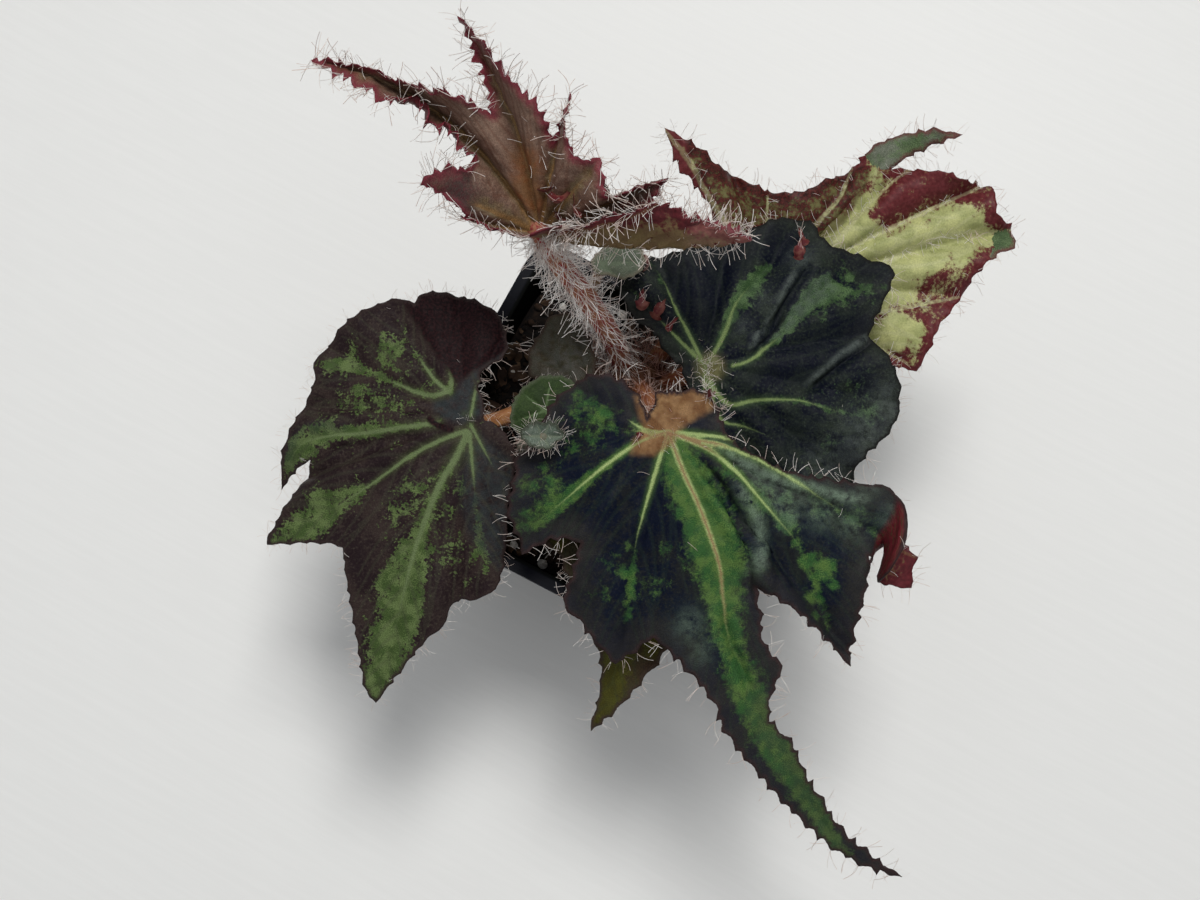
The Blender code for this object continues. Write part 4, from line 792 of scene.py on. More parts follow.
def side_veins(veins, edge, gap):
    """Side veins that lean away from each main vein and run to the middle of their field."""
    found = []
    for i, line in enumerate(vein[-1] for vein in veins):
        others = [vein[-1] for j, vein in enumerate(veins) if j != i]
        spots = even_line(line, 1.0)
        for side in (-1, 1):
            place = TWIG_START + (gap * 0.45 if side > 0 else 0)
            while place < len(spots) - 3:
                k = int(place)
                way = unit(spots[k + 1] - spots[k])
                base_way = way
                lean = side * math.radians(TWIG_LEAN - TWIG_LEAN_LOSS * k / len(spots))
                way = np.array([way[0] * math.cos(lean) - way[1] * math.sin(lean),
                                way[0] * math.sin(lean) + way[1] * math.cos(lean)])
                run = [spots[k]]
                for _ in range(TWIG_LENGTH):
                    way = unit(way * TWIG_KEEP + base_way * TWIG_BEND)
                    spot = run[-1] + way
                    if not inside(spot[None], edge)[0]:
                        break
                    own = near_line(spot[None], line)[0][0]
                    rest = min(near_line(spot[None], other)[0][0] for other in others) if others else 99
                    if own > rest + 0.5:
                        break
                    run.append(spot)
                if len(run) > 3:
                    found.append(np.array(run))
                place += gap * (0.85 + 0.3 * abs(math.sin(k * 1.7 + i)))
    return found


def lay_out(edge, lines, step):
    """Flat triangles of a blade, with the margin and the veins as their own edges."""
    spots = [tuple(s) for s in edge]
    links = [(i, (i + 1) % len(edge)) for i in range(len(edge))]
    on_lines = []
    for line in lines:
        points = even_line(line, step)
        keep = inside(points, edge) & (nearest(points, edge)[0] > step * 0.7)
        if on_lines:
            keep &= nearest(points, on_lines)[0] > step * 0.55
        previous = None
        for spot, good in zip(points, keep):
            if not good:
                previous = None
                continue
            spots.append(tuple(spot))
            on_lines.append(spot)
            if previous is not None:
                links.append((previous, len(spots) - 1))
            previous = len(spots) - 1
    low, high = edge.min(0), edge.max(0)
    columns = np.arange(low[0], high[0] + step, step)
    rows = np.arange(low[1], high[1] + step, step * ROW_SHARE)
    grid = [(x + (0.5 * step if j % 2 else 0), y) for j, y in enumerate(rows) for x in columns]
    grid = np.array(grid)
    grid = grid[inside(grid, edge)]
    grid = grid[nearest(grid, edge)[0] > step * 0.6]
    if on_lines:
        grid = grid[nearest(grid, on_lines)[0] > step * 0.62]
    spots.extend(tuple(s) for s in grid)
    placed, _, faces, *_ = delaunay_2d_cdt([Vector(s) for s in spots], links, [], 0, 1e-6, False)
    placed = np.array([(v.x, v.y) for v in placed])
    faces = np.array([face for face in faces if len(face) == 3])
    faces = faces[inside(placed[faces].mean(1), edge)]
    used = np.unique(faces)
    order = np.full(len(placed), -1)
    order[used] = np.arange(len(used))
    placed, faces = placed[used], order[faces]
    a, b, c = placed[faces[:, 0]], placed[faces[:, 1]], placed[faces[:, 2]]
    area = (b[:, 0] - a[:, 0]) * (c[:, 1] - a[:, 1]) - (b[:, 1] - a[:, 1]) * (c[:, 0] - a[:, 0])
    faces = faces[np.abs(area) > 1e-7]
    area = area[np.abs(area) > 1e-7]
    faces[area < 0] = faces[area < 0][:, ::-1]
    return placed, faces


def point_normals(spots, faces):
    a, b, c = spots[faces[:, 0]], spots[faces[:, 1]], spots[faces[:, 2]]
    face = np.cross(b - a, c - a)
    total = np.zeros_like(spots)
    for column in range(3):
        np.add.at(total, faces[:, column], face)
    return unit(total)


def blobs(spots, table):
    """Strongest of several round soft patches at each spot."""
    total = np.zeros(len(spots))
    for x, y, reach, strength in table:
        far = np.hypot(spots[:, 0] - x, spots[:, 1] - y)
        total = np.maximum(total, strength * np.exp(-(far / reach) ** 2))
    return total


def ridges(spots, table):
    total = np.zeros(len(spots))
    for height, wide, line in table:
        far, share = near_line(spots, rounded(line))
        total += height * np.exp(-(far / wide) ** 2) * soft(np.minimum(share, 1 - share) * 5 + 0.1)
    return total


def look_field(key, look, flat):
    """How strongly one look (green, night, the painted sheen, glow, dusk, ruby or blotch) shows at each
    flat spot.
    """
    total = blobs(flat, PATCHES.get(key, {}).get(look, []))
    for name, strength, softness, line in AREAS.get(key, []):
        if name == look:
            closed = np.array(line + line[:1], float)
            far = near_line(flat, closed)[0] * np.where(inside(flat, closed[:-1]), 1, -1)
            total = np.maximum(total, strength * soft(0.5 + far / softness))
    for name, strength, wide, line in STREAKS.get(key, []):
        if name == look:
            far, share = near_line(flat, rounded(line))
            ends = soft(np.minimum(share, 1 - share) * 6)
            total = np.maximum(total, strength * np.exp(-(far / wide) ** 2) * ends)
    return total


def rolled_margin(key, leaf, flat, faces, edge, veins, rim, closest):
    """The blade in space, with its margin rolled up and inwards where it curls."""
    spots = blade_spots(leaf, flat)
    ahead = np.roll(edge, -4, 0) - np.roll(edge, 4, 0)
    inwards = unit(np.stack([-ahead[:, 1], ahead[:, 0]], -1))
    loose = LOOSE_CURL.get(key, 0.0) * np.clip(wander(edge, 0.16, 5.9) * 3.2 + 0.2, 0, 1)
    amount = np.maximum(blobs(edge, CURLS.get(key, [])), loose)[closest]
    middle = np.concatenate([even_line(vein[-1], 0.5) for vein in veins])
    wide = nearest(middle, edge)[0][nearest(flat, middle)[1]]
    roll = np.minimum(wide * 0.95, WIDEST_ROLL) * (0.3 + 0.65 * np.minimum(amount, 1))
    arc = np.maximum(roll - rim, 0)
    radius = roll / np.maximum(amount * 2.5, 0.02)
    angle = arc / radius
    shift = arc - radius * np.sin(angle)
    lift = radius * (1 - np.cos(angle))
    up = point_normals(spots, faces)
    return blade_spots(leaf, flat + inwards[closest] * shift[:, None]) + up * lift[:, None]


def blade_data(key):
    """Everything about one blade: flat triangles, places in space, normals and its painted fields."""
    leaf = LEAVES[key]
    small = len(leaf["outline"]) < SMALL_OUTLINE
    closer, flatter = TOOTH_LOOK.get(key, (1, 1))
    pitch = min(TOOTH_PITCH, leaf["tooth"] * 6) * closer
    edge, stands = toothed_margin(leaf["outline"], pitch, leaf["tooth"] * flatter)
    veins = main_veins(key)
    twigs = side_veins(veins, edge, TWIG_GAPS[0 if small else 1])
    flat, faces = lay_out(edge, [vein[-1] for vein in veins] + twigs, SMALL_LATTICE if small else LATTICE)
    rim, closest = nearest(flat, edge)
    near = np.full(len(flat), FAR)
    light, halo, blush, bulk = (np.zeros(len(flat)) for _ in range(4))
    green = look_field(key, "green", flat)
    blushes = dict(BLUSHES.get(key, ()))
    for number, (start, end, pale, reaches, strengths, line) in enumerate(veins):
        far, share = near_line(flat, line)
        half = start + (end - start) * share
        shows = 1 - soft((share - pale * 0.4) / pale)
        near = np.minimum(near, far / half)
        light = np.maximum(light, np.exp(-(far / half) ** 2) * (0.12 + 0.88 * shows))
        halo = np.maximum(halo, np.exp(-(far / (half * HALO_WIDTH)) ** 2) * shows)
        wide = np.interp(share, np.linspace(0, 1, len(reaches)), reaches)
        strong = np.interp(share, np.linspace(0, 1, len(strengths)), strengths)
        green = np.maximum(green, strong * np.exp(-(far / wide) ** 2) * np.where(share > 0.999, 0.8, 1.0))
        bulk = np.maximum(bulk, half * np.exp(-(far / (half * 1.1)) ** 2))
        if number in blushes:
            along = 1 - soft((share - blushes[number] * 0.6) / (blushes[number] * 0.4))
            blush = np.maximum(blush, np.exp(-(far / (half * BLUSH_WIDTH)) ** 2) * along)
    twig = np.full(len(flat), FAR)
    for line in twigs:
        far, share = near_line(flat, line)
        twig = np.minimum(twig, far / (0.34 - 0.18 * share))
    fields = {"vein": light, "near": near, "halo": halo, "blush": blush, "twig": twig, "green": green,
              "rim": rim}
    for look in ("night", "painted_sheen", "glow", "dusk", "ruby"):
        fields[look] = look_field(key, look, flat)
    from_rim = np.exp(-(rim / BLOTCH_REACH) ** 2) * 0.95
    fields["blotch"] = np.maximum(look_field(key, "blotch", flat), from_rim)
    spots = rolled_margin(key, leaf, flat, faces, edge, veins, rim, closest)
    normals = point_normals(spots, faces)
    tall = leaf["wave"] * 0.45
    lift = (tall * wander(flat, 0.34, 8.1) * np.exp(-rim / 3.5) + 0.22 * wander(flat, 0.55, 2.2)
            + ridges(flat, CREASES.get(key, [])) * soft(rim / 3 + 0.2)
            - 0.3 * np.exp(-(near / 2.2) ** 2) * soft(rim / 2)
            - 0.13 * np.exp(-(twig / 2.4) ** 2) * soft(rim / 2))
    if small:
        lift *= 0.5
    spots = spots + normals * lift[:, None]
    over = np.zeros(len(flat))
    if key in TURNED_OVER:
        over = 1.0 - soft(blobs(flat, TURNED_OVER[key]) * 4 - 1)
    return {"over": over, "flat": flat, "faces": faces, "spots": spots, "stands": stands, "veins": veins,
            "normals": point_normals(spots, faces), "fields": fields, "bulk": bulk}


def blade_mesh(key, data):
    """Closed shell of the blade: sunk veins above, raised ribs below, thin margin."""
    spots, normals, faces, fields = data["spots"], data["normals"], data["faces"], data["fields"]
    thin = soft(fields["rim"] / THIN_STRIP)
    half = HALF_BLADE * (0.55 + 0.45 * thin)
    raised = (data["bulk"] * RIB_HEIGHT + TWIG_HEIGHT * np.exp(-(fields["twig"] / 1.3) ** 2)) * thin
    over = data["over"]
    upper = spots + normals * (half + raised * over)[:, None]
    lower = spots - normals * (half + raised * (1 - over))[:, None]
    count = len(spots)
    sides = np.concatenate([faces[:, [0, 1]], faces[:, [1, 2]], faces[:, [2, 0]]])
    known = set(map(tuple, sides))
    border = [(a, b) for a, b in known if (b, a) not in known]
    polygons = faces.tolist() + (faces[:, ::-1] + count).tolist()
    polygons += [(b, a, a + count, b + count) for a, b in sorted(border)]
    mesh = bpy.data.meshes.new("blade_" + key)
    mesh.from_pydata(in_frame(np.concatenate([upper, lower])), [], polygons)
    turned_over = over[faces].mean(1) > 0.5
    which = np.zeros(len(polygons), int)
    which[:len(faces)] = turned_over
    which[len(faces):2 * len(faces)] = ~turned_over
    mesh.polygons.foreach_set("material_index", which)
    mesh.shade_smooth()
    for name, values in fields.items():
        lay_values(mesh, name, np.tile(values, 2))
    place = np.concatenate([data["flat"], np.zeros((count, 1))], 1)
    lay_values(mesh, "flat", np.tile(place, (2, 1)), "FLOAT_VECTOR")
    return mesh


# stalks and rhizome
def smooth_path(points, count):
    """A clamped quadratic B-spline through the foliage, as places and as shares of the point list."""
    points = np.array(points, float)
    last = len(points) - 2
    knots = [0, 0, 0] + list(range(1, last)) + [last] * 3
    spots, shares = [], []
    for u in np.linspace(0, last, count):
        k = min(int(u), last - 1) + 2
        d = [points[j + k - 2] for j in range(3)]
        w = [float(j + k - 2) for j in range(3)]
        for r in (1, 2):
            for j in range(2, r - 1, -1):
                i = j + k - 2
                alpha = (u - knots[i]) / (knots[i + 3 - r] - knots[i])
                d[j] = (1 - alpha) * d[j - 1] + alpha * d[j]
                w[j] = (1 - alpha) * w[j - 1] + alpha * w[j]
        spots.append(d[2])
        shares.append(w[2] / (len(points) - 1))
    return np.array(spots), np.array(shares)


def ring_frames(spots):
    ways = unit(np.gradient(spots, axis=0))
    side = unit(np.cross(ways[0], (0.3, 1.0, 0.2)))
    frames = []
    for way in ways:
        side = unit(side - way * (side @ way))
        frames.append((side, np.cross(way, side)))
    return frames


def stalk_rings(key, around=26):
    """Rings of the stalk, a little ridged and bumpy, opening out into the blade at the top."""
    foot, top, path = STALKS[key]
    length = sum(math.dist(a, b) for a, b in zip(path, path[1:]))
    spots, shares = smooth_path(path, max(12, int(length / RING_GAP)))
    leaf = LEAVES[key]
    rings = []
    for (side, other), spot, share in zip(ring_frames(spots), spots, shares):
        ring = []
        for k in range(around):
            angle = 2 * math.pi * k / around
            out = side * math.cos(angle) + other * math.sin(angle)
            bump = noise.noise(Vector(out * 1.3) + Vector((0, 0, share * length * 0.35 + foot)))
            ridge = 0.03 * math.sin(5 * angle + share * 3)
            ring.append(spot + out * (foot + (top - foot) * share) * (1 + 0.07 * bump + ridge))
        rings.append(np.array(ring))
    hangs = leaf["junction"][2] < path[-2][2]
    if not hangs:
        outs = unit((rings[-1] - rings[-1].mean(0))[:, :2])
        seat = blade_spots(leaf, outs * (top * FLARE)) - (0, 0, 0.25)
        lower = blade_spots(leaf, outs * top * NECK) - (0, 0, 1.1)
        keep = [ring for ring in rings if ring[:, 2].max() < leaf["junction"][2] - 2.2]
        rings = keep + [lower, seat]
    return rings


def stalk_mesh(key):
    rings = stalk_rings(key)
    around = len(rings[0])
    spots = np.concatenate(rings + [rings[0].mean(0)[None], rings[-1].mean(0)[None]])
    polygons = []
    for i in range(len(rings) - 1):
        for k in range(around):
            n = (k + 1) % around
            polygons.append((i * around + k, i * around + n, (i + 1) * around + n, (i + 1) * around + k))
    low, high = len(spots) - 2, len(spots) - 1
    top = (len(rings) - 1) * around
    for k in range(around):
        n = (k + 1) % around
        polygons.append((low, n, k))
        polygons.append((high, top + k, top + n))
    mesh = bpy.data.meshes.new("stalk_" + key)
    mesh.from_pydata(in_frame(spots), [], polygons)
    mesh.shade_smooth()
    angles = [2 * math.pi * k / around for k in range(around)]
    grain = [(math.cos(a), math.sin(a), i * RING_GAP) for i in range(len(rings)) for a in angles]
    grain += [(0, 0, 0), (0, 0, len(rings) * RING_GAP)]
    lay_values(mesh, "grain", grain, "FLOAT_VECTOR")
    return mesh, rings


def rhizome_mesh():
    """Knobbly rhizome with ring scars."""
    work = bmesh.new()
    bmesh.ops.create_uvsphere(work, u_segments=72, v_segments=44, radius=1.0)
    for vertex in work.verts:
        way = vertex.co.normalized()
        knob = 1 + 0.12 * noise.noise(way * 2.6) + 0.05 * noise.noise(way * 6)
        knob += 0.03 * noise.noise(way * 14) + 0.02 * math.sin(way.x * 22 + 2 * noise.noise(way * 3))
        spot = [RHIZOME_CENTRE[i] + way[i] * RHIZOME_RADII[i] * knob for i in range(3)]
        vertex.co = in_frame([spot])[0]
    mesh = bpy.data.meshes.new("rhizome_bark")
    work.to_mesh(mesh)
    work.free()
    mesh.shade_smooth()
    return mesh


# hairs, bark and perlite (Geometry Nodes)
def tree_with(name, inputs):
    tree = bpy.data.node_groups.new(name, "GeometryNodeTree")
    tree.interface.new_socket("Geometry", in_out="INPUT", socket_type="NodeSocketGeometry")
    for label, kind, value in inputs:
        socket = tree.interface.new_socket(label, in_out="INPUT", socket_type=kind)
        if value is not None:
            socket.default_value = value
    tree.interface.new_socket("Geometry", in_out="OUTPUT", socket_type="NodeSocketGeometry")
    return tree, tree.nodes.new("NodeGroupInput"), tree.nodes.new("NodeGroupOutput")


def add(tree, kind, values=(), **settings):
    """Adds a node with its settings and the fixed values of its inputs."""
    node = tree.nodes.new(kind)
    for key, value in settings.items():
        setattr(node, key, value)
    for key, value in dict(values).items():
        node.inputs[key].default_value = value
    return node


def named(tree, name, kind):
    return add(tree, "GeometryNodeInputNamedAttribute", {"Name": name}, data_type=kind)


def wire(tree, *rows):
    """Links nodes, each row from a node and its output to a node and its input."""
    for start, given, end, taken in rows:
        tree.links.new(start.outputs[given], end.inputs[taken])


def scatter(tree, given, result, shapes, kinds, tilt):
    """Puts one of the shapes, turned at random, on each guide point, and gives it the material."""
    pick = add(tree, "FunctionNodeRandomValue", {4: 0, 5: kinds - 1}, data_type="INT")
    ends = {0: (-tilt, -tilt, 0), 1: (tilt, tilt, 2 * math.pi)}
    spin = add(tree, "FunctionNodeRandomValue", ends, data_type="FLOAT_VECTOR")
    plant = add(tree, "GeometryNodeInstanceOnPoints", {"Pick Instance": True})
    real = add(tree, "GeometryNodeRealizeInstances")
    coat = add(tree, "GeometryNodeSetMaterial")
    wire(tree, (given, "Seed", pick, "Seed"), (given, "Seed", spin, "Seed"),
         (given, "Geometry", plant, "Points"), (shapes, 0, plant, "Instance"),
         (pick, 2, plant, "Instance Index"), (plant, 0, real, 0), (real, 0, coat, "Geometry"),
         (given, "Material", coat, "Material"), (coat, 0, result, 0))
    return plant, spin


def hair_tree():
    """Guide points grow curved tapering hairs along their aim, each as long as its own value."""
    tree, given, result = tree_with("hair_growth", [
        ("Thickness", "NodeSocketFloat", 0.03), ("Curl", "NodeSocketFloat", 0.3),
        ("Seed", "NodeSocketInt", 1), ("Material", "NodeSocketMaterial", None)])
    join = add(tree, "GeometryNodeJoinGeometry")
    profile = add(tree, "GeometryNodeCurvePrimitiveCircle", {"Resolution": 3}, mode="RADIUS")
    wire(tree, (given, "Thickness", profile, "Radius"))
    bends = (0.35, 1.0, 1.9)
    for share in bends:
        ends = {"Count": 6, "Start Location": (0, 0, 0), "Offset": (0, 0, 1)}
        line = add(tree, "GeometryNodeMeshLine", mode="END_POINTS", count_mode="TOTAL", values=ends)
        curve = add(tree, "GeometryNodeMeshToCurve")
        place = add(tree, "GeometryNodeInputPosition")
        parts = add(tree, "ShaderNodeSeparateXYZ")
        square = add(tree, "ShaderNodeMath", operation="MULTIPLY")
        bend = add(tree, "ShaderNodeMath", operation="MULTIPLY")
        lean = add(tree, "ShaderNodeMath", {1: share}, operation="MULTIPLY")
        offset = add(tree, "ShaderNodeCombineXYZ")
        move = add(tree, "GeometryNodeSetPosition")
        thin = add(tree, "ShaderNodeMath", {1: -0.8, 2: 1.0}, operation="MULTIPLY_ADD")
        radius = add(tree, "GeometryNodeSetCurveRadius")
        tube = add(tree, "GeometryNodeCurveToMesh", {"Fill Caps": True})
        instance = add(tree, "GeometryNodeGeometryToInstance")
        wire(tree, (line, "Mesh", curve, "Mesh"), (place, 0, parts, 0), (parts, "Z", square, 0),
             (parts, "Z", square, 1), (square, 0, bend, 0), (given, "Curl", bend, 1), (bend, 0, lean, 0),
             (lean, 0, offset, "X"), (parts, "Z", thin, 0), (curve, "Curve", radius, "Curve"),
             (thin, 0, radius, "Radius"), (radius, "Curve", move, "Geometry"),
             (offset, 0, move, "Offset"), (move, "Geometry", tube, "Curve"),
             (profile, "Curve", tube, "Profile Curve"), (tube, "Mesh", instance, "Geometry"),
             (instance, 0, join, 0))
    plant, spin = scatter(tree, given, result, join, len(bends), 0)
    aim = add(tree, "FunctionNodeAlignRotationToVector", axis="Z")
    turn = add(tree, "FunctionNodeRotateRotation", rotation_space="LOCAL")
    wire(tree, (named(tree, "aim", "FLOAT_VECTOR"), "Attribute", aim, "Vector"),
         (aim, "Rotation", turn, "Rotation"), (spin, 0, turn, "Rotate By"), (turn, 0, plant, "Rotation"),
         (named(tree, "long", "FLOAT"), "Attribute", plant, "Scale"))
    return tree


def crumb_tree():
    """Guide points carry rough lumps: a faceted ball, pushed about, stretched and turned at random."""
    tree, given, result = tree_with("crumb_scatter", [
        ("Roughness", "NodeSocketFloat", 0.5), ("Flatness", "NodeSocketFloat", 0.5),
        ("Stretch", "NodeSocketFloat", 1.0), ("Facets", "NodeSocketInt", 2), ("Seed", "NodeSocketInt", 1),
        ("Material", "NodeSocketMaterial", None)])
    join = add(tree, "GeometryNodeJoinGeometry")
    lumps = 5
    for number in range(lumps):
        ball = add(tree, "GeometryNodeMeshIcoSphere", {"Radius": 1.0})
        place = add(tree, "GeometryNodeInputPosition")
        shift = add(tree, "ShaderNodeVectorMath", {1: (number * 3.7, number * 1.3, 0)}, operation="ADD")
        rough = add(tree, "ShaderNodeTexNoise", {"Scale": 0.8, "Detail": 3}, noise_dimensions="3D")
        middle = add(tree, "ShaderNodeMath", {1: 0.5}, operation="SUBTRACT")
        amount = add(tree, "ShaderNodeMath", operation="MULTIPLY")
        push = add(tree, "ShaderNodeVectorMath", operation="SCALE")
        move = add(tree, "GeometryNodeSetPosition")
        instance = add(tree, "GeometryNodeGeometryToInstance")
        wire(tree, (given, "Facets", ball, "Subdivisions"), (place, 0, shift, 0),
             (shift, 0, rough, "Vector"), (rough, 0, middle, 0), (middle, 0, amount, 0),
             (given, "Roughness", amount, 1), (place, 0, push, 0), (amount, 0, push, "Scale"),
             (ball, "Mesh", move, "Geometry"), (push, 0, move, "Offset"),
             (move, 0, instance, "Geometry"), (instance, 0, join, 0))
    plant, spin = scatter(tree, given, result, join, lumps, 0.5)
    shape = add(tree, "ShaderNodeCombineXYZ", {"Y": 1.0})
    size = add(tree, "ShaderNodeVectorMath", operation="SCALE")
    wire(tree, (given, "Stretch", shape, "X"), (given, "Flatness", shape, "Z"), (shape, 0, size, 0),
         (named(tree, "long", "FLOAT"), "Attribute", size, "Scale"), (spin, 0, plant, "Rotation"),
         (size, 0, plant, "Scale"))
    return tree


def grow(name, tree, places, aims, longs, settings):
    """Runs a tree on guide points (metres) and returns its result as a plain mesh object."""
    mesh = bpy.data.meshes.new(name + "_guide")
    mesh.from_pydata(np.asarray(places), [], [])
    if aims is not None:
        lay_values(mesh, "aim", aims, "FLOAT_VECTOR")
    lay_values(mesh, "long", longs)
    guide = link_up(name + "_guide", mesh)
    modifier = guide.modifiers.new("growth", "NODES")
    modifier.node_group = tree
    for item in tree.interface.items_tree:
        if item.item_type == "SOCKET" and item.in_out == "INPUT" and item.name in settings:
            modifier[item.identifier] = settings[item.name]
    view = bpy.context.evaluated_depsgraph_get()
    result = bpy.data.meshes.new_from_object(guide.evaluated_get(view))
    guide.modifiers.remove(modifier)
    bpy.data.objects.remove(guide)
    result.name = name
    for extra in ("aim", "long"):
        if extra in result.attributes:
            result.attributes.remove(result.attributes[extra])
    return link_up(name, result)


# materials
class Paint:
    """Adds nodes to one material in few words."""

    def __init__(self, name):
        self.material = bpy.data.materials.new(name)
        self.material.use_nodes = True
        self.tree = self.material.node_tree
        self.shader = self.tree.nodes["Principled BSDF"]

    def link(self, value, socket):
        if isinstance(value, bpy.types.NodeSocket):
            self.tree.links.new(value, socket)
        elif isinstance(value, tuple) and len(value) == 3 and socket.type == "RGBA":
            socket.default_value = (*value, 1.0)
        elif value is not None:
            socket.default_value = value

    def put(self, kind, inputs=(), **settings):
        """A new node, its inputs given as values or as outputs of other nodes."""
        node = add(self.tree, kind, **settings)
        for key, value in dict(inputs).items():
            self.link(value, node.inputs[key])
        return node

    def field(self, name, vector=False):
        return self.put("ShaderNodeAttribute", attribute_name=name).outputs["Vector" if vector else "Fac"]

    def place(self):
        return self.put("ShaderNodeTexCoord").outputs["Object"]

    def sum(self, kind, a, b=0.0, c=None):
        return self.put("ShaderNodeMath", {0: a, 1: b, 2: c}, operation=kind).outputs[0]

    def times(self, a, b):
        return self.sum("MULTIPLY", a, b)

    def stir(self, grain, amount, onto):
        """A value moved up and down by noise."""
        return self.sum("MULTIPLY_ADD", self.sum("SUBTRACT", grain, 0.5), amount, onto)

    def stretched(self, place, scale):
        return self.put("ShaderNodeVectorMath", {0: place, 1: scale}, operation="MULTIPLY").outputs[0]

    def grain(self, place, scale, detail=3.0, rough=0.55):
        inputs = {"Vector": place, "Scale": scale, "Detail": detail, "Roughness": rough}
        return self.put("ShaderNodeTexNoise", inputs).outputs[0]

    def cells(self, place, scale):
        inputs = {"Vector": place, "Scale": scale}
        return self.put("ShaderNodeTexVoronoi", inputs, feature="SMOOTH_F1").outputs["Distance"]

    def between(self, value, low, high):
        """0 below low, 1 above high, soft between (reversed where high is the lower)."""
        inputs = {"Value": value, "From Min": min(low, high), "From Max": max(low, high),
                  "To Min": 0.0 if low < high else 1.0, "To Max": 1.0 if low < high else 0.0}
        return self.put("ShaderNodeMapRange", inputs, interpolation_type="SMOOTHSTEP").outputs["Result"]

    def blend(self, share, a, b, mode="MIX"):
        inputs = {0: share, 6: a, 7: b}
        return self.put("ShaderNodeMix", inputs, data_type="RGBA", blend_type=mode).outputs[2]

    def shaded(self, colour, share, low, high):
        """The colour made darker or lighter: times low or high, and between them by the share."""
        return self.blend(1.0, colour, self.blend(share, (low,) * 3, (high,) * 3), "MULTIPLY")

    def bump(self, height, strength, distance, onto=None):
        inputs = {"Height": height, "Strength": strength, "Distance": distance, "Normal": onto}
        return self.put("ShaderNodeBump", inputs).outputs[0]

    def finish(self, colour, roughness, normal=None, **steady):
        self.link(colour, self.shader.inputs["Base Color"])
        self.link(roughness, self.shader.inputs["Roughness"])
        self.link(normal, self.shader.inputs["Normal"])
        for name, value in steady.items():
            self.shader.inputs[name.replace("_", " ")].default_value = value
        return self.material


def leaf_face(name, tones):
    """Top of a blade: dark tones, green flames broken up by noise, painted sheen and painted shade along
    folds, veins, stalk glow, rim.
    """
    p = Paint(name)
    flat = p.field("flat", True)
    broad = p.grain(flat, 0.13, 3, 0.6)
    mid = p.grain(flat, 0.42, 5, 0.68)
    fine = p.grain(flat, 1.6, 3, 0.6)
    tiny = p.grain(flat, 4.5, 2, 0.5)
    colour = p.blend(p.between(p.stir(fine, 0.5, broad), 0.40, 0.62), tones["deep"], tones["deep2"])
    colour = p.blend(p.times(p.between(fine, 0.5, 0.75), tones["flecks"]), colour, tones["fleck"])
    push = p.stir(fine, tones["break"], p.stir(mid, tones["mottle"], p.field("green")))
    push = p.sum("MULTIPLY_ADD", p.field("night"), -0.62, push)
    mask = p.between(push, 0.46 - tones["crisp"], 0.46 + tones["crisp"])
    pick = p.stir(tiny, 0.4, p.grain(flat, 0.3, 3))
    colour = p.blend(mask, colour, p.blend(p.between(pick, 0.4, 0.62), tones["flame"], tones["flame2"]))
    # Night: navy-dark patches and areas, and, along the grooves, painted shade.
    colour = p.blend(p.times(p.field("night"), 0.75), colour, tones["night"])
    band = p.between(p.stir(mid, 9.0, p.field("rim")), 7.5, 1.5)
    colour = p.blend(p.times(band, tones["band_share"]), colour, tones["band"])
    # Painted sheen: a pale grey-green tone where folds and lobes catch the light.
    colour = p.blend(p.times(p.field("painted_sheen"), p.between(mid, 0.28, 0.6)), colour, tones["painted_sheen"])
    twig = p.times(p.between(p.field("twig"), 2.4, 0.4), tones["twig_share"])
    colour = p.blend(twig, colour, tones["twig"])
    colour = p.blend(p.times(p.between(p.field("halo"), 0.15, 0.9), tones["halo"]), colour, tones["flame2"])
    edge = p.stir(fine, 0.35, p.field("vein"))
    colour = p.blend(p.between(edge, 0.2, 0.85), colour, tones["vein"])
    tan = p.blend(p.between(pick, 0.38, 0.6), tones["glow"], tones["glow2"])
    tan = p.blend(p.times(p.between(edge, 0.35, 0.9), 0.5), tan, tones["vein"])
    colour = p.blend(p.between(p.stir(mid, 0.5, p.field("glow")), 0.22, 0.95), colour, tan)
    # Dusk: reddish-brown and maroon zones; the left blade's dusk streak is painted shadow.
    ember = p.blend(p.between(fine, 0.35, 0.62), tones["dusk"], tones["dusk2"])
    colour = p.blend(p.between(p.stir(mid, 0.5, p.field("dusk")), 0.25, 0.85), colour, ember)
    colour = p.blend(p.times(p.field("blush"), 0.8), colour, tones["blush"])
    wine = p.blend(p.between(fine, 0.46, 0.66), (0.110, 0.014, 0.019), (0.070, 0.034, 0.020))
    colour = p.blend(p.field("ruby"), colour, wine)
    rim = p.between(p.stir(fine, 1.6, p.field("rim")), tones["rim_reach"], 0.05)
    colour = p.shaded(p.blend(rim, colour, tones["rim"]), p.between(tiny, 0.3, 0.7), 0.66, 1.25)
    pebble = p.bump(p.cells(flat, 1.5), 0.6, 0.00016)
    normal = p.bump(p.grain(flat, 4.2, 3, 0.6), 0.35, 0.00011, pebble)
    rough = p.sum("MULTIPLY_ADD", mid, 0.3, tones["gloss"] - 0.15)
    return p.finish(colour, rough, normal, Specular_IOR_Level=tones["shine"])


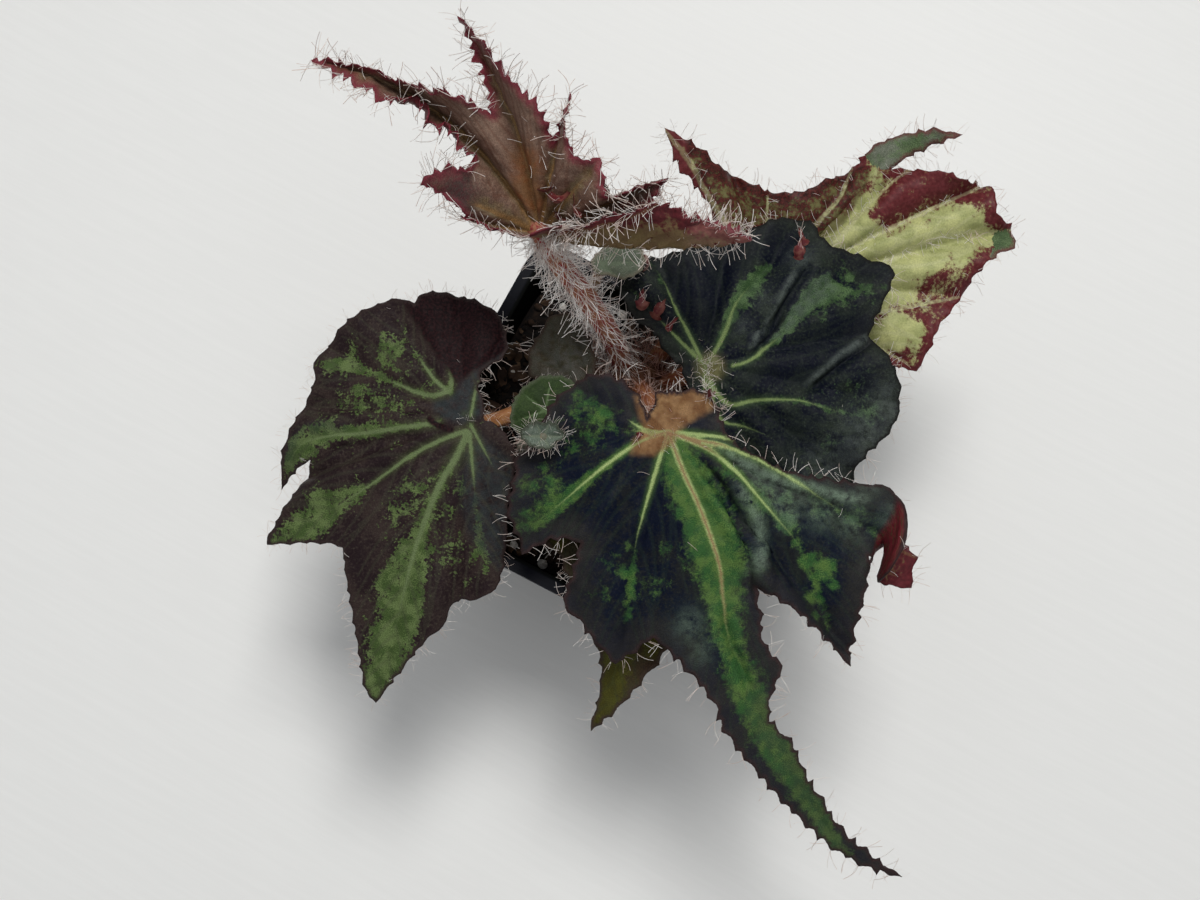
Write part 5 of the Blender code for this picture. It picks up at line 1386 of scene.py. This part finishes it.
def leaf_back(name, tones):
    """Underside of a blade: pale field, crimson blotches that thicken to the margin, pale ribs."""
    p = Paint(name)
    flat = p.field("flat", True)
    mid = p.grain(flat, 0.3, 5, 0.7)
    fine = p.grain(flat, 1.3, 4, 0.65)
    tiny = p.grain(flat, 4.0, 2, 0.6)
    drift = p.stir(tiny, 0.5, p.grain(flat, 0.22, 3))
    colour = p.blend(p.between(drift, 0.38, 0.62), tones["pale"], tones["pale2"])
    push = p.stir(tiny, 0.5, p.stir(fine, 1.1, p.stir(mid, 1.7, p.field("blotch"))))
    red = p.blend(p.between(fine, 0.35, 0.65), tones["red"], tones["red2"])
    ember = p.blend(p.between(fine, 0.4, 0.62), tones["dusk"], tones["dusk2"])
    dusk = p.stir(mid, 0.6, p.field("dusk"))
    red = p.blend(p.between(dusk, 0.3, 0.75), red, ember)
    colour = p.blend(p.times(p.between(p.field("twig"), 2.2, 0.5), 0.4), colour, tones["rib"])
    colour = p.blend(p.times(p.between(dusk, 0.2, 0.7), 0.8), colour, tones["olive"])
    colour = p.blend(p.between(push, 0.36, 0.74), colour, red)
    vein = p.between(p.stir(fine, 0.6, p.field("near")), 1.6, 0.7)
    share = p.sum("MULTIPLY_ADD", p.between(push, 0.9, 0.4), 0.55, 0.3)
    colour = p.blend(p.times(vein, share), colour, tones["rib"])
    shade = p.sum("MULTIPLY_ADD", p.grain(flat, 2.6, 2), 0.5, p.times(tiny, 0.5))
    colour = p.shaded(colour, p.between(shade, 0.3, 0.7), 0.72, 1.2)
    normal = p.bump(p.grain(flat, 3.4, 3, 0.6), 0.35, 0.00011, p.bump(p.cells(flat, 1.2), 0.35, 0.00013))
    rough = p.sum("MULTIPLY_ADD", mid, 0.25, tones["gloss"] - 0.12)
    return p.finish(colour, rough, normal, Specular_IOR_Level=tones["shine"])


def stalk_skin(name, tone, streak):
    p = Paint(name)
    streaks = p.grain(p.stretched(p.field("grain", True), (3.0, 3.0, 0.22)), 1.4, 4, 0.6)
    spots = p.grain(p.place(), 900, 3, 0.6)
    colour = p.blend(p.between(streaks, 0.42, 0.62), tone, streak)
    colour = p.blend(p.times(p.between(spots, 0.55, 0.75), 0.35), colour, (0.42, 0.28, 0.18))
    normal = p.bump(streaks, 0.4, 0.00025, p.bump(spots, 0.3, 0.0001))
    return p.finish(colour, p.sum("MULTIPLY_ADD", spots, 0.2, 0.4), normal, Specular_IOR_Level=0.25)


def scale_skin(name):
    p = Paint(name)
    spots = p.grain(p.place(), 700, 3, 0.6)
    colour = p.blend(p.between(spots, 0.4, 0.6), (0.105, 0.014, 0.018), (0.17, 0.055, 0.042))
    return p.finish(colour, 0.45, p.bump(spots, 0.3, 0.0001), Specular_IOR_Level=0.3)


def hair_coat(name, tone, tone2):
    p = Paint(name)
    colour = p.blend(p.between(p.grain(p.place(), 260, 2), 0.4, 0.62), tone, tone2)
    return p.finish(colour, 0.35, None, Specular_IOR_Level=0.5)


def crumb_coat(name, tones, scale, rough):
    p = Paint(name)
    place = p.place()
    a = p.grain(place, scale, 2, 0.5)
    b = p.grain(place, scale * 6, 4, 0.65)
    colour = p.blend(p.between(a, 0.38, 0.5), tones[0], tones[1])
    colour = p.shaded(p.blend(p.between(a, 0.52, 0.66), colour, tones[2]), b, 0.5, 1.3)
    return p.finish(colour, rough, p.bump(b, 0.7, 0.0003), Specular_IOR_Level=0.25)


def pot_plastic(name):
    """Dull black plastic, a little dusty, with painted shade inside and on the wall below the rim."""
    p = Paint(name)
    place = p.place()
    wear = p.grain(place, 90, 5, 0.65)
    dust = p.grain(place, 700, 3, 0.6)
    x, y, z = p.put("ShaderNodeSeparateXYZ", {0: place}).outputs
    across = p.sum("MAXIMUM", p.sum("ABSOLUTE", x), p.sum("ABSOLUTE", y))
    # Painted shade: a darker tone inside the pot and below the rim, where shade falls.
    within = p.times(p.between(across, *PAINTED_SHADE_SIDE), p.between(z, *PAINTED_SHADE_FOOT))
    colour = p.blend(p.between(wear, 0.45, 0.75), (0.0045, 0.0050, 0.0085), (0.010, 0.011, 0.015))
    colour = p.blend(p.times(p.between(dust, 0.6, 0.8), 0.2), colour, (0.08, 0.075, 0.07))
    colour = p.blend(within, colour, (0.0025, 0.003, 0.0025))
    rough = p.sum("MULTIPLY_ADD", within, 0.35, p.sum("MULTIPLY_ADD", wear, 0.22, 0.26))
    return p.finish(colour, rough, p.bump(dust, 0.25, 0.00006), Specular_IOR_Level=0.04)


def painted_wood(name):
    p = Paint(name)
    brush = p.grain(p.stretched(p.place(), (1.0, 14.0, 1.0)), 40, 4, 0.6)
    colour = p.blend(p.between(brush, 0.35, 0.7), (0.735, 0.735, 0.72), (0.75, 0.75, 0.735))
    return p.finish(colour, p.sum("MULTIPLY_ADD", brush, 0.12, 0.42), p.bump(brush, 0.12, 0.0003))


# Tones of the blades' upper faces in linear light, and the strengths of their patterns; the sheen tone is
# painted light where folds catch it.
DARK_LEAF = {
    "deep": (0.0026, 0.0052, 0.0150), "deep2": (0.0098, 0.0112, 0.0130), "fleck": (0.034, 0.036, 0.030),
    "flecks": 0.3, "flame": (0.030, 0.088, 0.025), "flame2": (0.076, 0.140, 0.035),
    "night": (0.0022, 0.0038, 0.0125), "painted_sheen": (0.135, 0.185, 0.135), "vein": (0.31, 0.40, 0.155),
    "twig": (0.026, 0.044, 0.026), "twig_share": 0.16, "halo": 0.45, "glow": (0.245, 0.140, 0.064),
    "glow2": (0.140, 0.066, 0.027), "dusk": (0.070, 0.046, 0.040), "dusk2": (0.040, 0.030, 0.026),
    "band": (0.034, 0.031, 0.028), "band_share": 0.45, "blush": (0.22, 0.105, 0.060),
    "rim": (0.034, 0.020, 0.020), "rim_reach": 1.2, "crisp": 0.24, "mottle": 1.5, "break": 0.45,
    "gloss": 0.55, "shine": 0.07}
RIGHT_LEAF = dict(
    DARK_LEAF, deep=(0.0024, 0.0036, 0.0100), deep2=(0.0130, 0.0180, 0.0140), fleck=(0.044, 0.056, 0.042),
    flame=(0.030, 0.062, 0.022), flame2=(0.066, 0.115, 0.046), night=(0.0020, 0.0032, 0.0090),
    painted_sheen=(0.088, 0.105, 0.096), vein=(0.165, 0.225, 0.085), twig=(0.030, 0.040, 0.026), halo=0.25,
    glow=(0.190, 0.190, 0.092), glow2=(0.12, 0.11, 0.045), dusk=(0.0050, 0.0052, 0.0058),
    dusk2=(0.011, 0.010, 0.009), rim=(0.014, 0.014, 0.013), band=(0.030, 0.032, 0.028), band_share=0.3,
    twig_share=0.16, flecks=0.62, crisp=0.18, mottle=1.9)
LEFT_LEAF = dict(
    DARK_LEAF, deep=(0.0170, 0.0095, 0.0110), deep2=(0.032, 0.0215, 0.0190), fleck=(0.060, 0.050, 0.040),
    flame=(0.048, 0.078, 0.023), flame2=(0.104, 0.146, 0.052), night=(0.013, 0.0075, 0.0095),
    painted_sheen=(0.026, 0.031, 0.033), vein=(0.120, 0.160, 0.070), twig=(0.055, 0.056, 0.036), halo=0.2,
    glow=(0.060, 0.080, 0.045), glow2=(0.04, 0.05, 0.035), dusk=(0.022, 0.0070, 0.0080),
    dusk2=(0.0070, 0.0028, 0.0036), rim=(0.034, 0.022, 0.021), band_share=0.0, twig_share=0.25, flecks=0.6,
    crisp=0.11, mottle=1.9)
LEFT_LEAF["break"] = 1.3
YOUNG_LEAF = dict(
    DARK_LEAF, deep=(0.125, 0.070, 0.050), deep2=(0.20, 0.125, 0.090), fleck=(0.24, 0.17, 0.13),
    flame=(0.120, 0.070, 0.030), flame2=(0.20, 0.150, 0.085), night=(0.05, 0.02, 0.016),
    painted_sheen=(0.25, 0.155, 0.115), vein=(0.26, 0.15, 0.060), twig=(0.10, 0.038, 0.022), halo=0.3,
    glow=(0.205, 0.072, 0.024), glow2=(0.165, 0.080, 0.034), dusk=(0.095, 0.030, 0.032),
    dusk2=(0.075, 0.045, 0.040), rim=(0.165, 0.026, 0.038), rim_reach=2.6, band_share=0.0, twig_share=0.4,
    gloss=0.5, shine=0.2)
BACK_LEAF = dict(
    DARK_LEAF, deep=(0.10, 0.115, 0.078), deep2=(0.15, 0.165, 0.125), fleck=(0.16, 0.18, 0.13),
    flame=(0.07, 0.11, 0.05), flame2=(0.12, 0.17, 0.08), rim=(0.12, 0.05, 0.045), band_share=0.0)
UNDER_LEAF = dict(
    DARK_LEAF, deep=(0.036, 0.026, 0.012), deep2=(0.042, 0.036, 0.018), fleck=(0.055, 0.045, 0.024),
    flame=(0.055, 0.050, 0.009), flame2=(0.066, 0.064, 0.012), vein=(0.095, 0.115, 0.042),
    glow=(0.06, 0.07, 0.04), dusk=(0.036, 0.022, 0.012), dusk2=(0.024, 0.014, 0.010),
    painted_sheen=(0.074, 0.071, 0.062), rim=(0.045, 0.030, 0.022), halo=0.2, band_share=0.0)
KIDNEY_LEAF = dict(
    DARK_LEAF, deep=(0.020, 0.036, 0.011), deep2=(0.034, 0.058, 0.018), flame=(0.026, 0.048, 0.014),
    flame2=(0.040, 0.066, 0.024), vein=(0.085, 0.13, 0.055), rim=(0.07, 0.085, 0.05),
    fleck=(0.044, 0.072, 0.026), shine=0.07, band_share=0.0)
BUD_LEAF = dict(
    KIDNEY_LEAF, deep=(0.105, 0.135, 0.105), deep2=(0.145, 0.175, 0.14), fleck=(0.22, 0.25, 0.21),
    flame=(0.115, 0.145, 0.11), flame2=(0.14, 0.17, 0.13), vein=(0.15, 0.18, 0.13),
    rim=(0.055, 0.062, 0.045), glow=(0.13, 0.16, 0.12), glow2=(0.11, 0.14, 0.10), blush=(0.13, 0.15, 0.11))
PALE_LEAF = dict(
    KIDNEY_LEAF, deep=(0.085, 0.105, 0.075), deep2=(0.12, 0.14, 0.10), fleck=(0.16, 0.18, 0.14),
    flame=(0.09, 0.12, 0.08), flame2=(0.12, 0.15, 0.10), vein=(0.12, 0.15, 0.1), rim=(0.16, 0.15, 0.11))
TOPS = {
    "front": DARK_LEAF, "right": RIGHT_LEAF, "left": LEFT_LEAF, "young": YOUNG_LEAF, "back": BACK_LEAF,
    "under": UNDER_LEAF, "kidney": KIDNEY_LEAF, "bud": BUD_LEAF, "pale": PALE_LEAF}
# Tones of their undersides.
PALE_BACK = {
    "pale": (0.44, 0.45, 0.19), "pale2": (0.31, 0.33, 0.13), "rib": (0.46, 0.46, 0.24),
    "red": (0.135, 0.024, 0.027), "red2": (0.078, 0.0095, 0.011), "dusk": (0.030, 0.0075, 0.0055),
    "dusk2": (0.088, 0.017, 0.014), "olive": (0.085, 0.070, 0.022), "gloss": 0.5, "shine": 0.18}
CRIMSON_BACK = dict(
    PALE_BACK, pale=(0.175, 0.125, 0.052), pale2=(0.14, 0.085, 0.042), rib=(0.20, 0.13, 0.06),
    red=(0.120, 0.017, 0.022), red2=(0.070, 0.009, 0.012), dusk=(0.21, 0.085, 0.070),
    dusk2=(0.16, 0.050, 0.048), olive=(0.20, 0.12, 0.075))
DULL_BACK = dict(
    PALE_BACK, pale=(0.12, 0.10, 0.05), pale2=(0.09, 0.06, 0.035), rib=(0.22, 0.18, 0.08),
    red=(0.10, 0.014, 0.018), red2=(0.06, 0.01, 0.012))
GREEN_BACK = dict(
    PALE_BACK, pale=(0.14, 0.18, 0.08), pale2=(0.11, 0.14, 0.06), rib=(0.2, 0.22, 0.1),
    red=(0.10, 0.05, 0.03), red2=(0.12, 0.10, 0.05))
BACKS = {
    "front": CRIMSON_BACK, "right": DULL_BACK, "left": DULL_BACK, "young": CRIMSON_BACK, "back": PALE_BACK,
    "under": DULL_BACK, "kidney": GREEN_BACK, "bud": GREEN_BACK, "pale": GREEN_BACK}
# Skin of the stalks and the streaks in it.
STALK_TONES = {
    "front": ((0.30, 0.12, 0.05), (0.20, 0.06, 0.03)), "right": ((0.30, 0.13, 0.055), (0.22, 0.05, 0.03)),
    "left": ((0.34, 0.16, 0.06), (0.26, 0.10, 0.04)), "young": ((0.36, 0.17, 0.10), (0.26, 0.035, 0.04)),
    "back": ((0.30, 0.15, 0.07), (0.20, 0.05, 0.03)), "under": ((0.28, 0.13, 0.06), (0.18, 0.05, 0.03)),
    "kidney": ((0.22, 0.16, 0.08), (0.20, 0.07, 0.04)), "bud": ((0.13, 0.14, 0.10), (0.12, 0.11, 0.08)),
    "pale": ((0.26, 0.18, 0.09), (0.2, 0.07, 0.04))}
# Hairs: on the margin per mm, their length in mm, along the ribs below per mm, on the face per square cm.
HAIRINESS = {
    "front": (0.42, 3.2, 0.5, 0.15), "right": (0.7, 2.6, 0.5, 0.15), "left": (1.1, 2.4, 0.4, 0.1),
    "young": (2.2, 4.2, 2.6, 2.4), "back": (1.1, 3.0, 1.4, 0.8), "under": (0.8, 2.4, 0.6, 0.1),
    "kidney": (0.8, 1.0, 0.4, 0.0), "bud": (2.4, 2.2, 1.0, 26.0), "pale": (1.4, 1.6, 0.8, 10.0)}
# Tufts on the face: blade, flat place, reach in mm, how many, length in mm.
TUFTS = (
    ("right", 1.2, -1.0, 4.2, 70, 2.6), ("front", 10, 9.5, 2.2, 26, 3.4), ("front", 14, 4.5, 2.0, 14, 3.0),
    ("front", 0.5, -1.5, 3.2, 20, 1.8), ("back", 2, 1, 6, 60, 2.6), ("young", 32, 1, 7, 60, 3.4),
    ("young", 20, 3, 5, 26, 3.0), ("left", 0, 0, 2.4, 12, 1.6))
# Hairs on the stalks: how many a square mm about halfway up, and their length in mm.
STALK_HAIRS = {
    "front": (1.0, 2.8), "right": (1.0, 2.8), "left": (0.5, 1.8), "young": (1.9, 4.4), "back": (0.9, 2.8),
    "under": (0.7, 2.4), "kidney": (0.5, 1.2), "bud": (1.0, 1.4), "pale": (0.9, 1.4)}


# putting the pieces together
def settle(piece, slot, *nodes):
    """Says what a piece rides on and which solids it stands for; its slot is not used."""
    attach(piece, "root")
    if nodes:
        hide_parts(*nodes)
    return piece


def margin_hairs(key, data, dice):
    """Hairs that stand out from the teeth and the margin between them, wherever it has curled to."""
    rate, long, _, _ = HAIRINESS[key]
    spots, normals = data["spots"], data["normals"]
    flats, outs, lengths = [], [], []
    for spot, out, tooth in data["stands"]:
        if dice.random() > (TOOTH_HAIR_CHANCE if tooth else rate * STAND_GAP):
            continue
        for _ in range(2 if tooth and dice.random() < TWIN_CHANCE else 1):
            flats.append(spot)
            outs.append(out)
            lengths.append(long * dice.uniform(0.5, 1.3))
    flats, outs = np.array(flats), np.array(outs)
    at = nearest(flats, data["flat"])[1]
    behind = nearest(flats - outs * 1.5, data["flat"])[1]
    out = unit(spots[at] - spots[behind])
    side = np.cross(normals[at], out)
    lean = dice.normal(0, 0.42, len(at))[:, None]
    aims = out * np.cos(lean) + side * np.sin(lean) + dice.normal(0, 0.22, (len(at), 3)) + (0, 0, 0.08)
    return spots[at], unit(aims), np.array(lengths)


def rib_hairs(key, data, dice):
    """Hairs below the ribs, a few on the face, and the tufts."""
    _, long, rate, face_rate = HAIRINESS[key]
    spots, normals, flat = data["spots"], data["normals"], data["flat"]
    places, aims, lengths = [], [], []
    on_rib = np.flatnonzero(data["fields"]["near"] < RIB_HAIR_REACH)
    reach = sum(np.linalg.norm(np.diff(vein[-1], axis=0), axis=1).sum() for vein in data["veins"])
    for i in dice.choice(on_rib, min(len(on_rib), int(reach * rate)), replace=False):
        side = 1 if data["over"][i] > 0.5 else -1
        places.append(spots[i] + side * normals[i] * (HALF_BLADE + data["bulk"][i] * 0.4))
        aims.append(side * normals[i] + dice.normal(0, 0.45, 3))
        lengths.append(long * dice.uniform(0.6, 1.2))
    area = len(flat) * LATTICE**2 * ROW_SHARE / 100
    for i in dice.choice(len(flat), int(area * face_rate), replace=False):
        places.append(spots[i] + normals[i] * HALF_BLADE * 0.8)
        aims.append(normals[i] + dice.normal(0, 0.8, 3))
        lengths.append(long * dice.uniform(0.5, 0.9))
    for blade, x, y, wide, count, tall in TUFTS:
        if blade == key:
            around = np.array((x, y)) + dice.normal(0, wide * 0.55, (count, 2))
            for i in nearest(around, flat)[1]:
                places.append(spots[i] + normals[i] * HALF_BLADE * 0.8)
                aims.append(normals[i] + dice.normal(0, 0.7, 3))
                lengths.append(tall * dice.uniform(0.5, 1.2))
    return np.array(places).reshape(-1, 3), unit(np.array(aims).reshape(-1, 3)), np.array(lengths)


def small_scales(key, data, dice):
    """Teeth that stand up as thin curved crimson scales with a few points, as one mesh, and their tips."""
    spots, faces, tips, aims = [], [], [], []
    rows = columns = SCALE_POINTS
    block = rows * columns
    for blade, x, y, heading, long in SCALES:
        if blade != key:
            continue
        root = nearest(np.array([(x, y)]), data["flat"])[1][0]
        ahead = nearest(np.array([(x, y)]) + polar(heading, 2.0), data["flat"])[1][0]
        up = data["normals"][root] * (1 if data["normals"][root][2] > 0 else -1)
        way = unit(data["spots"][ahead] - data["spots"][root])
        way = unit(way - up * (way @ up))
        side = np.cross(up, way)
        wide = long * (0.38 if key == "young" else 0.26)
        start = len(spots)
        for layer in (0.0, 1.0):
            for i in range(rows):
                t = i / (rows - 1)
                width = wide * (1 - t) ** 0.7 * (1 + 0.35 * math.sin(t * 11 + x))
                for k in range(columns):
                    u = k / (columns - 1) * 2 - 1
                    hollow = 0.55 * width * u * u
                    rise = long * (0.75 * t + 0.10 * math.sin(t * 5 + y)) + 0.1
                    spot = data["spots"][root] + up * (rise - 0.25) + way * (long * 0.55 * t * t + hollow)
                    spot = spot + side * (width * u + 0.2 * math.sin(t * 4 + x))
                    spots.append(spot + way * (SCALE_THICKNESS * layer * (1 - 0.6 * t)))
        for i in range(rows - 1):
            for k in range(columns - 1):
                a = start + i * columns + k
                b = a + block
                faces.append((a, a + 1, a + columns + 1, a + columns))
                faces.append((b, b + columns, b + columns + 1, b + 1))
        loop = [i * columns for i in range(rows)] + [(rows - 1) * columns + k for k in range(1, columns)]
        loop += [i * columns + columns - 1 for i in range(rows - 2, -1, -1)]
        loop += range(columns - 2, 0, -1)
        for a, b in zip(loop, loop[1:] + loop[:1]):
            faces.append((start + a, start + a + block, start + b + block, start + b))
        for _ in range(SCALE_HAIRS):
            row = dice.integers(2, rows)
            tips.append(spots[start + row * columns + dice.integers(0, columns)])
            aims.append(up * dice.uniform(0.2, 1.0) + way * 0.7 + dice.normal(0, 0.5, 3))
    if not faces:
        return None, [], []
    mesh = bpy.data.meshes.new("scales_" + key)
    mesh.from_pydata(in_frame(np.array(spots)), [], faces)
    mesh.shade_smooth()
    return mesh, tips, aims


def stalk_hairs(key, rings, dice):
    """Hairs all round a stalk, leaning a little down it."""
    rate, long = STALK_HAIRS[key]
    places, aims, lengths = [], [], []
    for step, (low, high) in enumerate(zip(rings[:-2], rings[1:-1])):
        share = step / len(rings)
        centre, above = low.mean(0), high.mean(0)
        way = unit(above - centre)
        round_length = np.linalg.norm(low - np.roll(low, 1, 0), axis=1).sum()
        count = dice.poisson(rate * (0.45 + 1.3 * share**3) * round_length * np.linalg.norm(above - centre))
        for _ in range(count):
            k = dice.integers(len(low))
            spot = low[k] + (high[k] - low[k]) * dice.random()
            out = unit(low[k] - centre)
            places.append(spot - out * 0.1)
            aims.append(out - way * dice.normal(0.75, 0.5) + dice.normal(0, 0.35, 3))
            lengths.append(long * dice.uniform(0.45, 1.25))
    return np.array(places), unit(np.array(aims)), np.array(lengths)


def build_foliage(hairs, white, pink, silver):
    dice = np.random.default_rng(7)
    for number, key in enumerate(LEAVES):
        data = blade_data(key)
        face = leaf_face("leaf_face_" + key, TOPS[key])
        back = leaf_back("leaf_back_" + key, BACKS[key])
        blade = link_up("blade_" + key, blade_mesh(key, data), face, back)
        settle(blade, "leaf_" + key, "leaf_" + key)
        mesh, rings = stalk_mesh(key)
        stalk = link_up("stem_" + key, mesh, stalk_skin("stalk_skin_" + key, *STALK_TONES[key]))
        settle(stalk, "stalk_" + key, "stalk_" + key)
        groups = [margin_hairs(key, data, dice), rib_hairs(key, data, dice)]
        scales, tips, ways = small_scales(key, data, dice)
        if scales:
            settle(link_up("scales_" + key, scales, scale_skin("scale_skin_" + key)), "leaf_" + key)
            groups.append((np.array(tips), unit(np.array(ways)), dice.uniform(1.4, 3.2, len(tips))))
        places, aims, lengths = (np.concatenate(parts) for parts in zip(*groups))
        fringe = grow("fringe_" + key, hairs, in_frame(places), in_frame(aims) / MM, lengths * MM,
                      dict(FRINGE_SHAPE, Seed=number + 3, Material=white))
        settle(fringe, "leaf_" + key)
        places, aims, lengths = stalk_hairs(key, rings, dice)
        wool = grow("wool_" + key, hairs, in_frame(places), in_frame(aims) / MM, lengths * MM,
                    dict(WOOL_SHAPE, Seed=number + 30, Material=silver if key == "young" else pink))
        settle(wool, "stalk_" + key)


def build_rhizome(hairs, pink):
    dice = np.random.default_rng(11)
    tones = ((0.14, 0.06, 0.032), (0.09, 0.032, 0.018), (0.20, 0.105, 0.056))
    bark = link_up("rhizome_bark", rhizome_mesh(), crumb_coat("rhizome_skin", tones, 260, 0.6))
    settle(bark, "rhizome_skin", "rhizome")
    places, aims = [], []
    radii = np.array(RHIZOME_RADII)
    for _ in range(ROOT_WOOL_COUNT):
        way = unit(dice.normal(0, 1, 3))
        if way[2] < -0.15:
            continue
        places.append(np.array(RHIZOME_CENTRE) + way * radii)
        aims.append(unit(way / radii) + dice.normal(0, 0.4, 3))
    wool = grow("wool_rhizome", hairs, in_frame(places), in_frame(unit(np.array(aims))) / MM,
                dice.uniform(2.6, 5.4, len(places)) * MM, dict(ROOT_WOOL_SHAPE, Seed=60, Material=pink))
    settle(wool, "rhizome_skin")


def build_soil_top():
    """Crumbs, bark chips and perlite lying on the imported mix."""
    dice = np.random.default_rng(5)
    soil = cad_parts["soil"]
    floor = BVHTree.FromObject(soil, bpy.context.evaluated_depsgraph_get())
    crumb = ((0.0025, 0.002, 0.0018), (0.010, 0.0065, 0.0045), (0.036, 0.020, 0.012))
    chip = ((0.022, 0.011, 0.007), (0.048, 0.026, 0.015), (0.10, 0.060, 0.034))
    pale = ((0.55, 0.53, 0.5), (0.68, 0.66, 0.62), (0.42, 0.38, 0.33))
    packed = ((0.0025, 0.002, 0.0018), (0.008, 0.005, 0.004), (0.02, 0.012, 0.008))
    dark = crumb_coat("mix_crumb", crumb, 420, 0.9)
    bark = crumb_coat("bark_chip", chip, 300, 0.8)
    white = crumb_coat("perlite", pale, 700, 0.85)
    tree = crumb_tree()
    # name, material, count, sizes in mm, roughness, flatness, stretch, facets, raised by this of its size
    recipes = [
        ("mix_crumbs", dark, 1500, (0.35, 1.0), 0.9, 0.8, 1.1, 2, 0.2),
        ("bark_chips", bark, 260, (0.5, 1.5), 0.8, 0.4, 1.9, 2, 0.35),
        ("perlite_bits", white, 46, (0.5, 1.3), 0.9, 0.85, 1.1, 3, 0.45)]
    for number, (name, coat, count, size, rough, flat, stretch, facets, raise_by) in enumerate(recipes):
        places, sizes = [], []
        while len(places) < count:
            x, y = dice.uniform(-STREWN_HALF, STREWN_HALF, 2)
            if abs(x) + abs(y) > STREWN_HALF * STREWN_CORNER:
                continue
            hit = floor.ray_cast(Vector((x, y, DROP_HEIGHT)), Vector((0, 0, -1)))[0]
            if hit is None:
                continue
            wide = dice.uniform(*size) * MM
            places.append((x, y, hit.z + wide * raise_by))
            sizes.append(wide)
        bits = grow(name, tree, places, None, sizes,
                    {"Roughness": rough, "Flatness": flat, "Stretch": stretch, "Facets": facets,
                     "Seed": number + 80, "Material": coat})
        bits.data.shade_flat()
        settle(bits, "potting_mix")
    soil.material_slots[0].material = crumb_coat("potting_mix", packed, 500, 0.95)


def build_studio():
    frame_turn = Matrix.Rotation(FOLIAGE_TURN, 3, "Z")
    floor_mesh = bpy.data.meshes.new("table_top")
    work = bmesh.new()
    bmesh.ops.create_grid(work, x_segments=1, y_segments=1, size=3.0, matrix=frame_turn.to_4x4())
    work.to_mesh(floor_mesh)
    work.free()
    table = link_up("table_top", floor_mesh, painted_wood("pale_table"))

    for name, place, size, power, tone in LAMPS:
        light = bpy.data.lights.new(name, "AREA")
        light.shape = "SQUARE"
        light.size = size
        light.energy = power
        light.color = tone
        lamp = link_up(name, light)
        spot = frame_turn @ Vector(place)
        lamp.location = spot
        lamp.rotation_euler = (Vector(LAMP_AIM) - spot).to_track_quat("-Z", "Y").to_euler()

    world = bpy.data.worlds.new("studio_air")
    world.use_nodes = True
    world.node_tree.nodes["Background"].inputs["Color"].default_value = SKY_TONE
    world.node_tree.nodes["Background"].inputs["Strength"].default_value = SKY_STRENGTH
    bpy.context.scene.world = world

    lens = bpy.data.cameras.new("photo_view")
    lens.lens = LENS
    lens.sensor_width = SENSOR
    lens.clip_start = 0.01
    camera = link_up("photo_view", lens)
    back = Vector((0, -math.cos(CAMERA_HEIGHT), math.sin(CAMERA_HEIGHT)))
    spot = frame_turn @ (Vector(CAMERA_AIM) + back * CAMERA_DISTANCE)
    z = (frame_turn @ back).normalized()
    x = Vector((0, 0, 1)).cross(z).normalized()
    y = z.cross(x)
    camera.matrix_world = Matrix(((x.x, y.x, z.x, spot.x), (x.y, y.y, z.y, spot.y),
                                  (x.z, y.z, z.z, spot.z), (0, 0, 0, 1)))
    bpy.context.scene.camera = camera
    bpy.context.scene.view_settings.view_transform = "Standard"


white_hair = hair_coat("white_hair", (0.78, 0.74, 0.70), (0.62, 0.50, 0.44))
pink_hair = hair_coat("pink_hair", (0.66, 0.48, 0.42), (0.50, 0.26, 0.20))
growth = hair_tree()
silver_hair = hair_coat("silver_hair", (0.92, 0.89, 0.86), (0.80, 0.70, 0.64))
build_foliage(growth, white_hair, pink_hair, silver_hair)
build_rhizome(growth, pink_hair)
build_soil_top()
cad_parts["pot"].material_slots[0].material = pot_plastic("black_plastic")
build_studio()
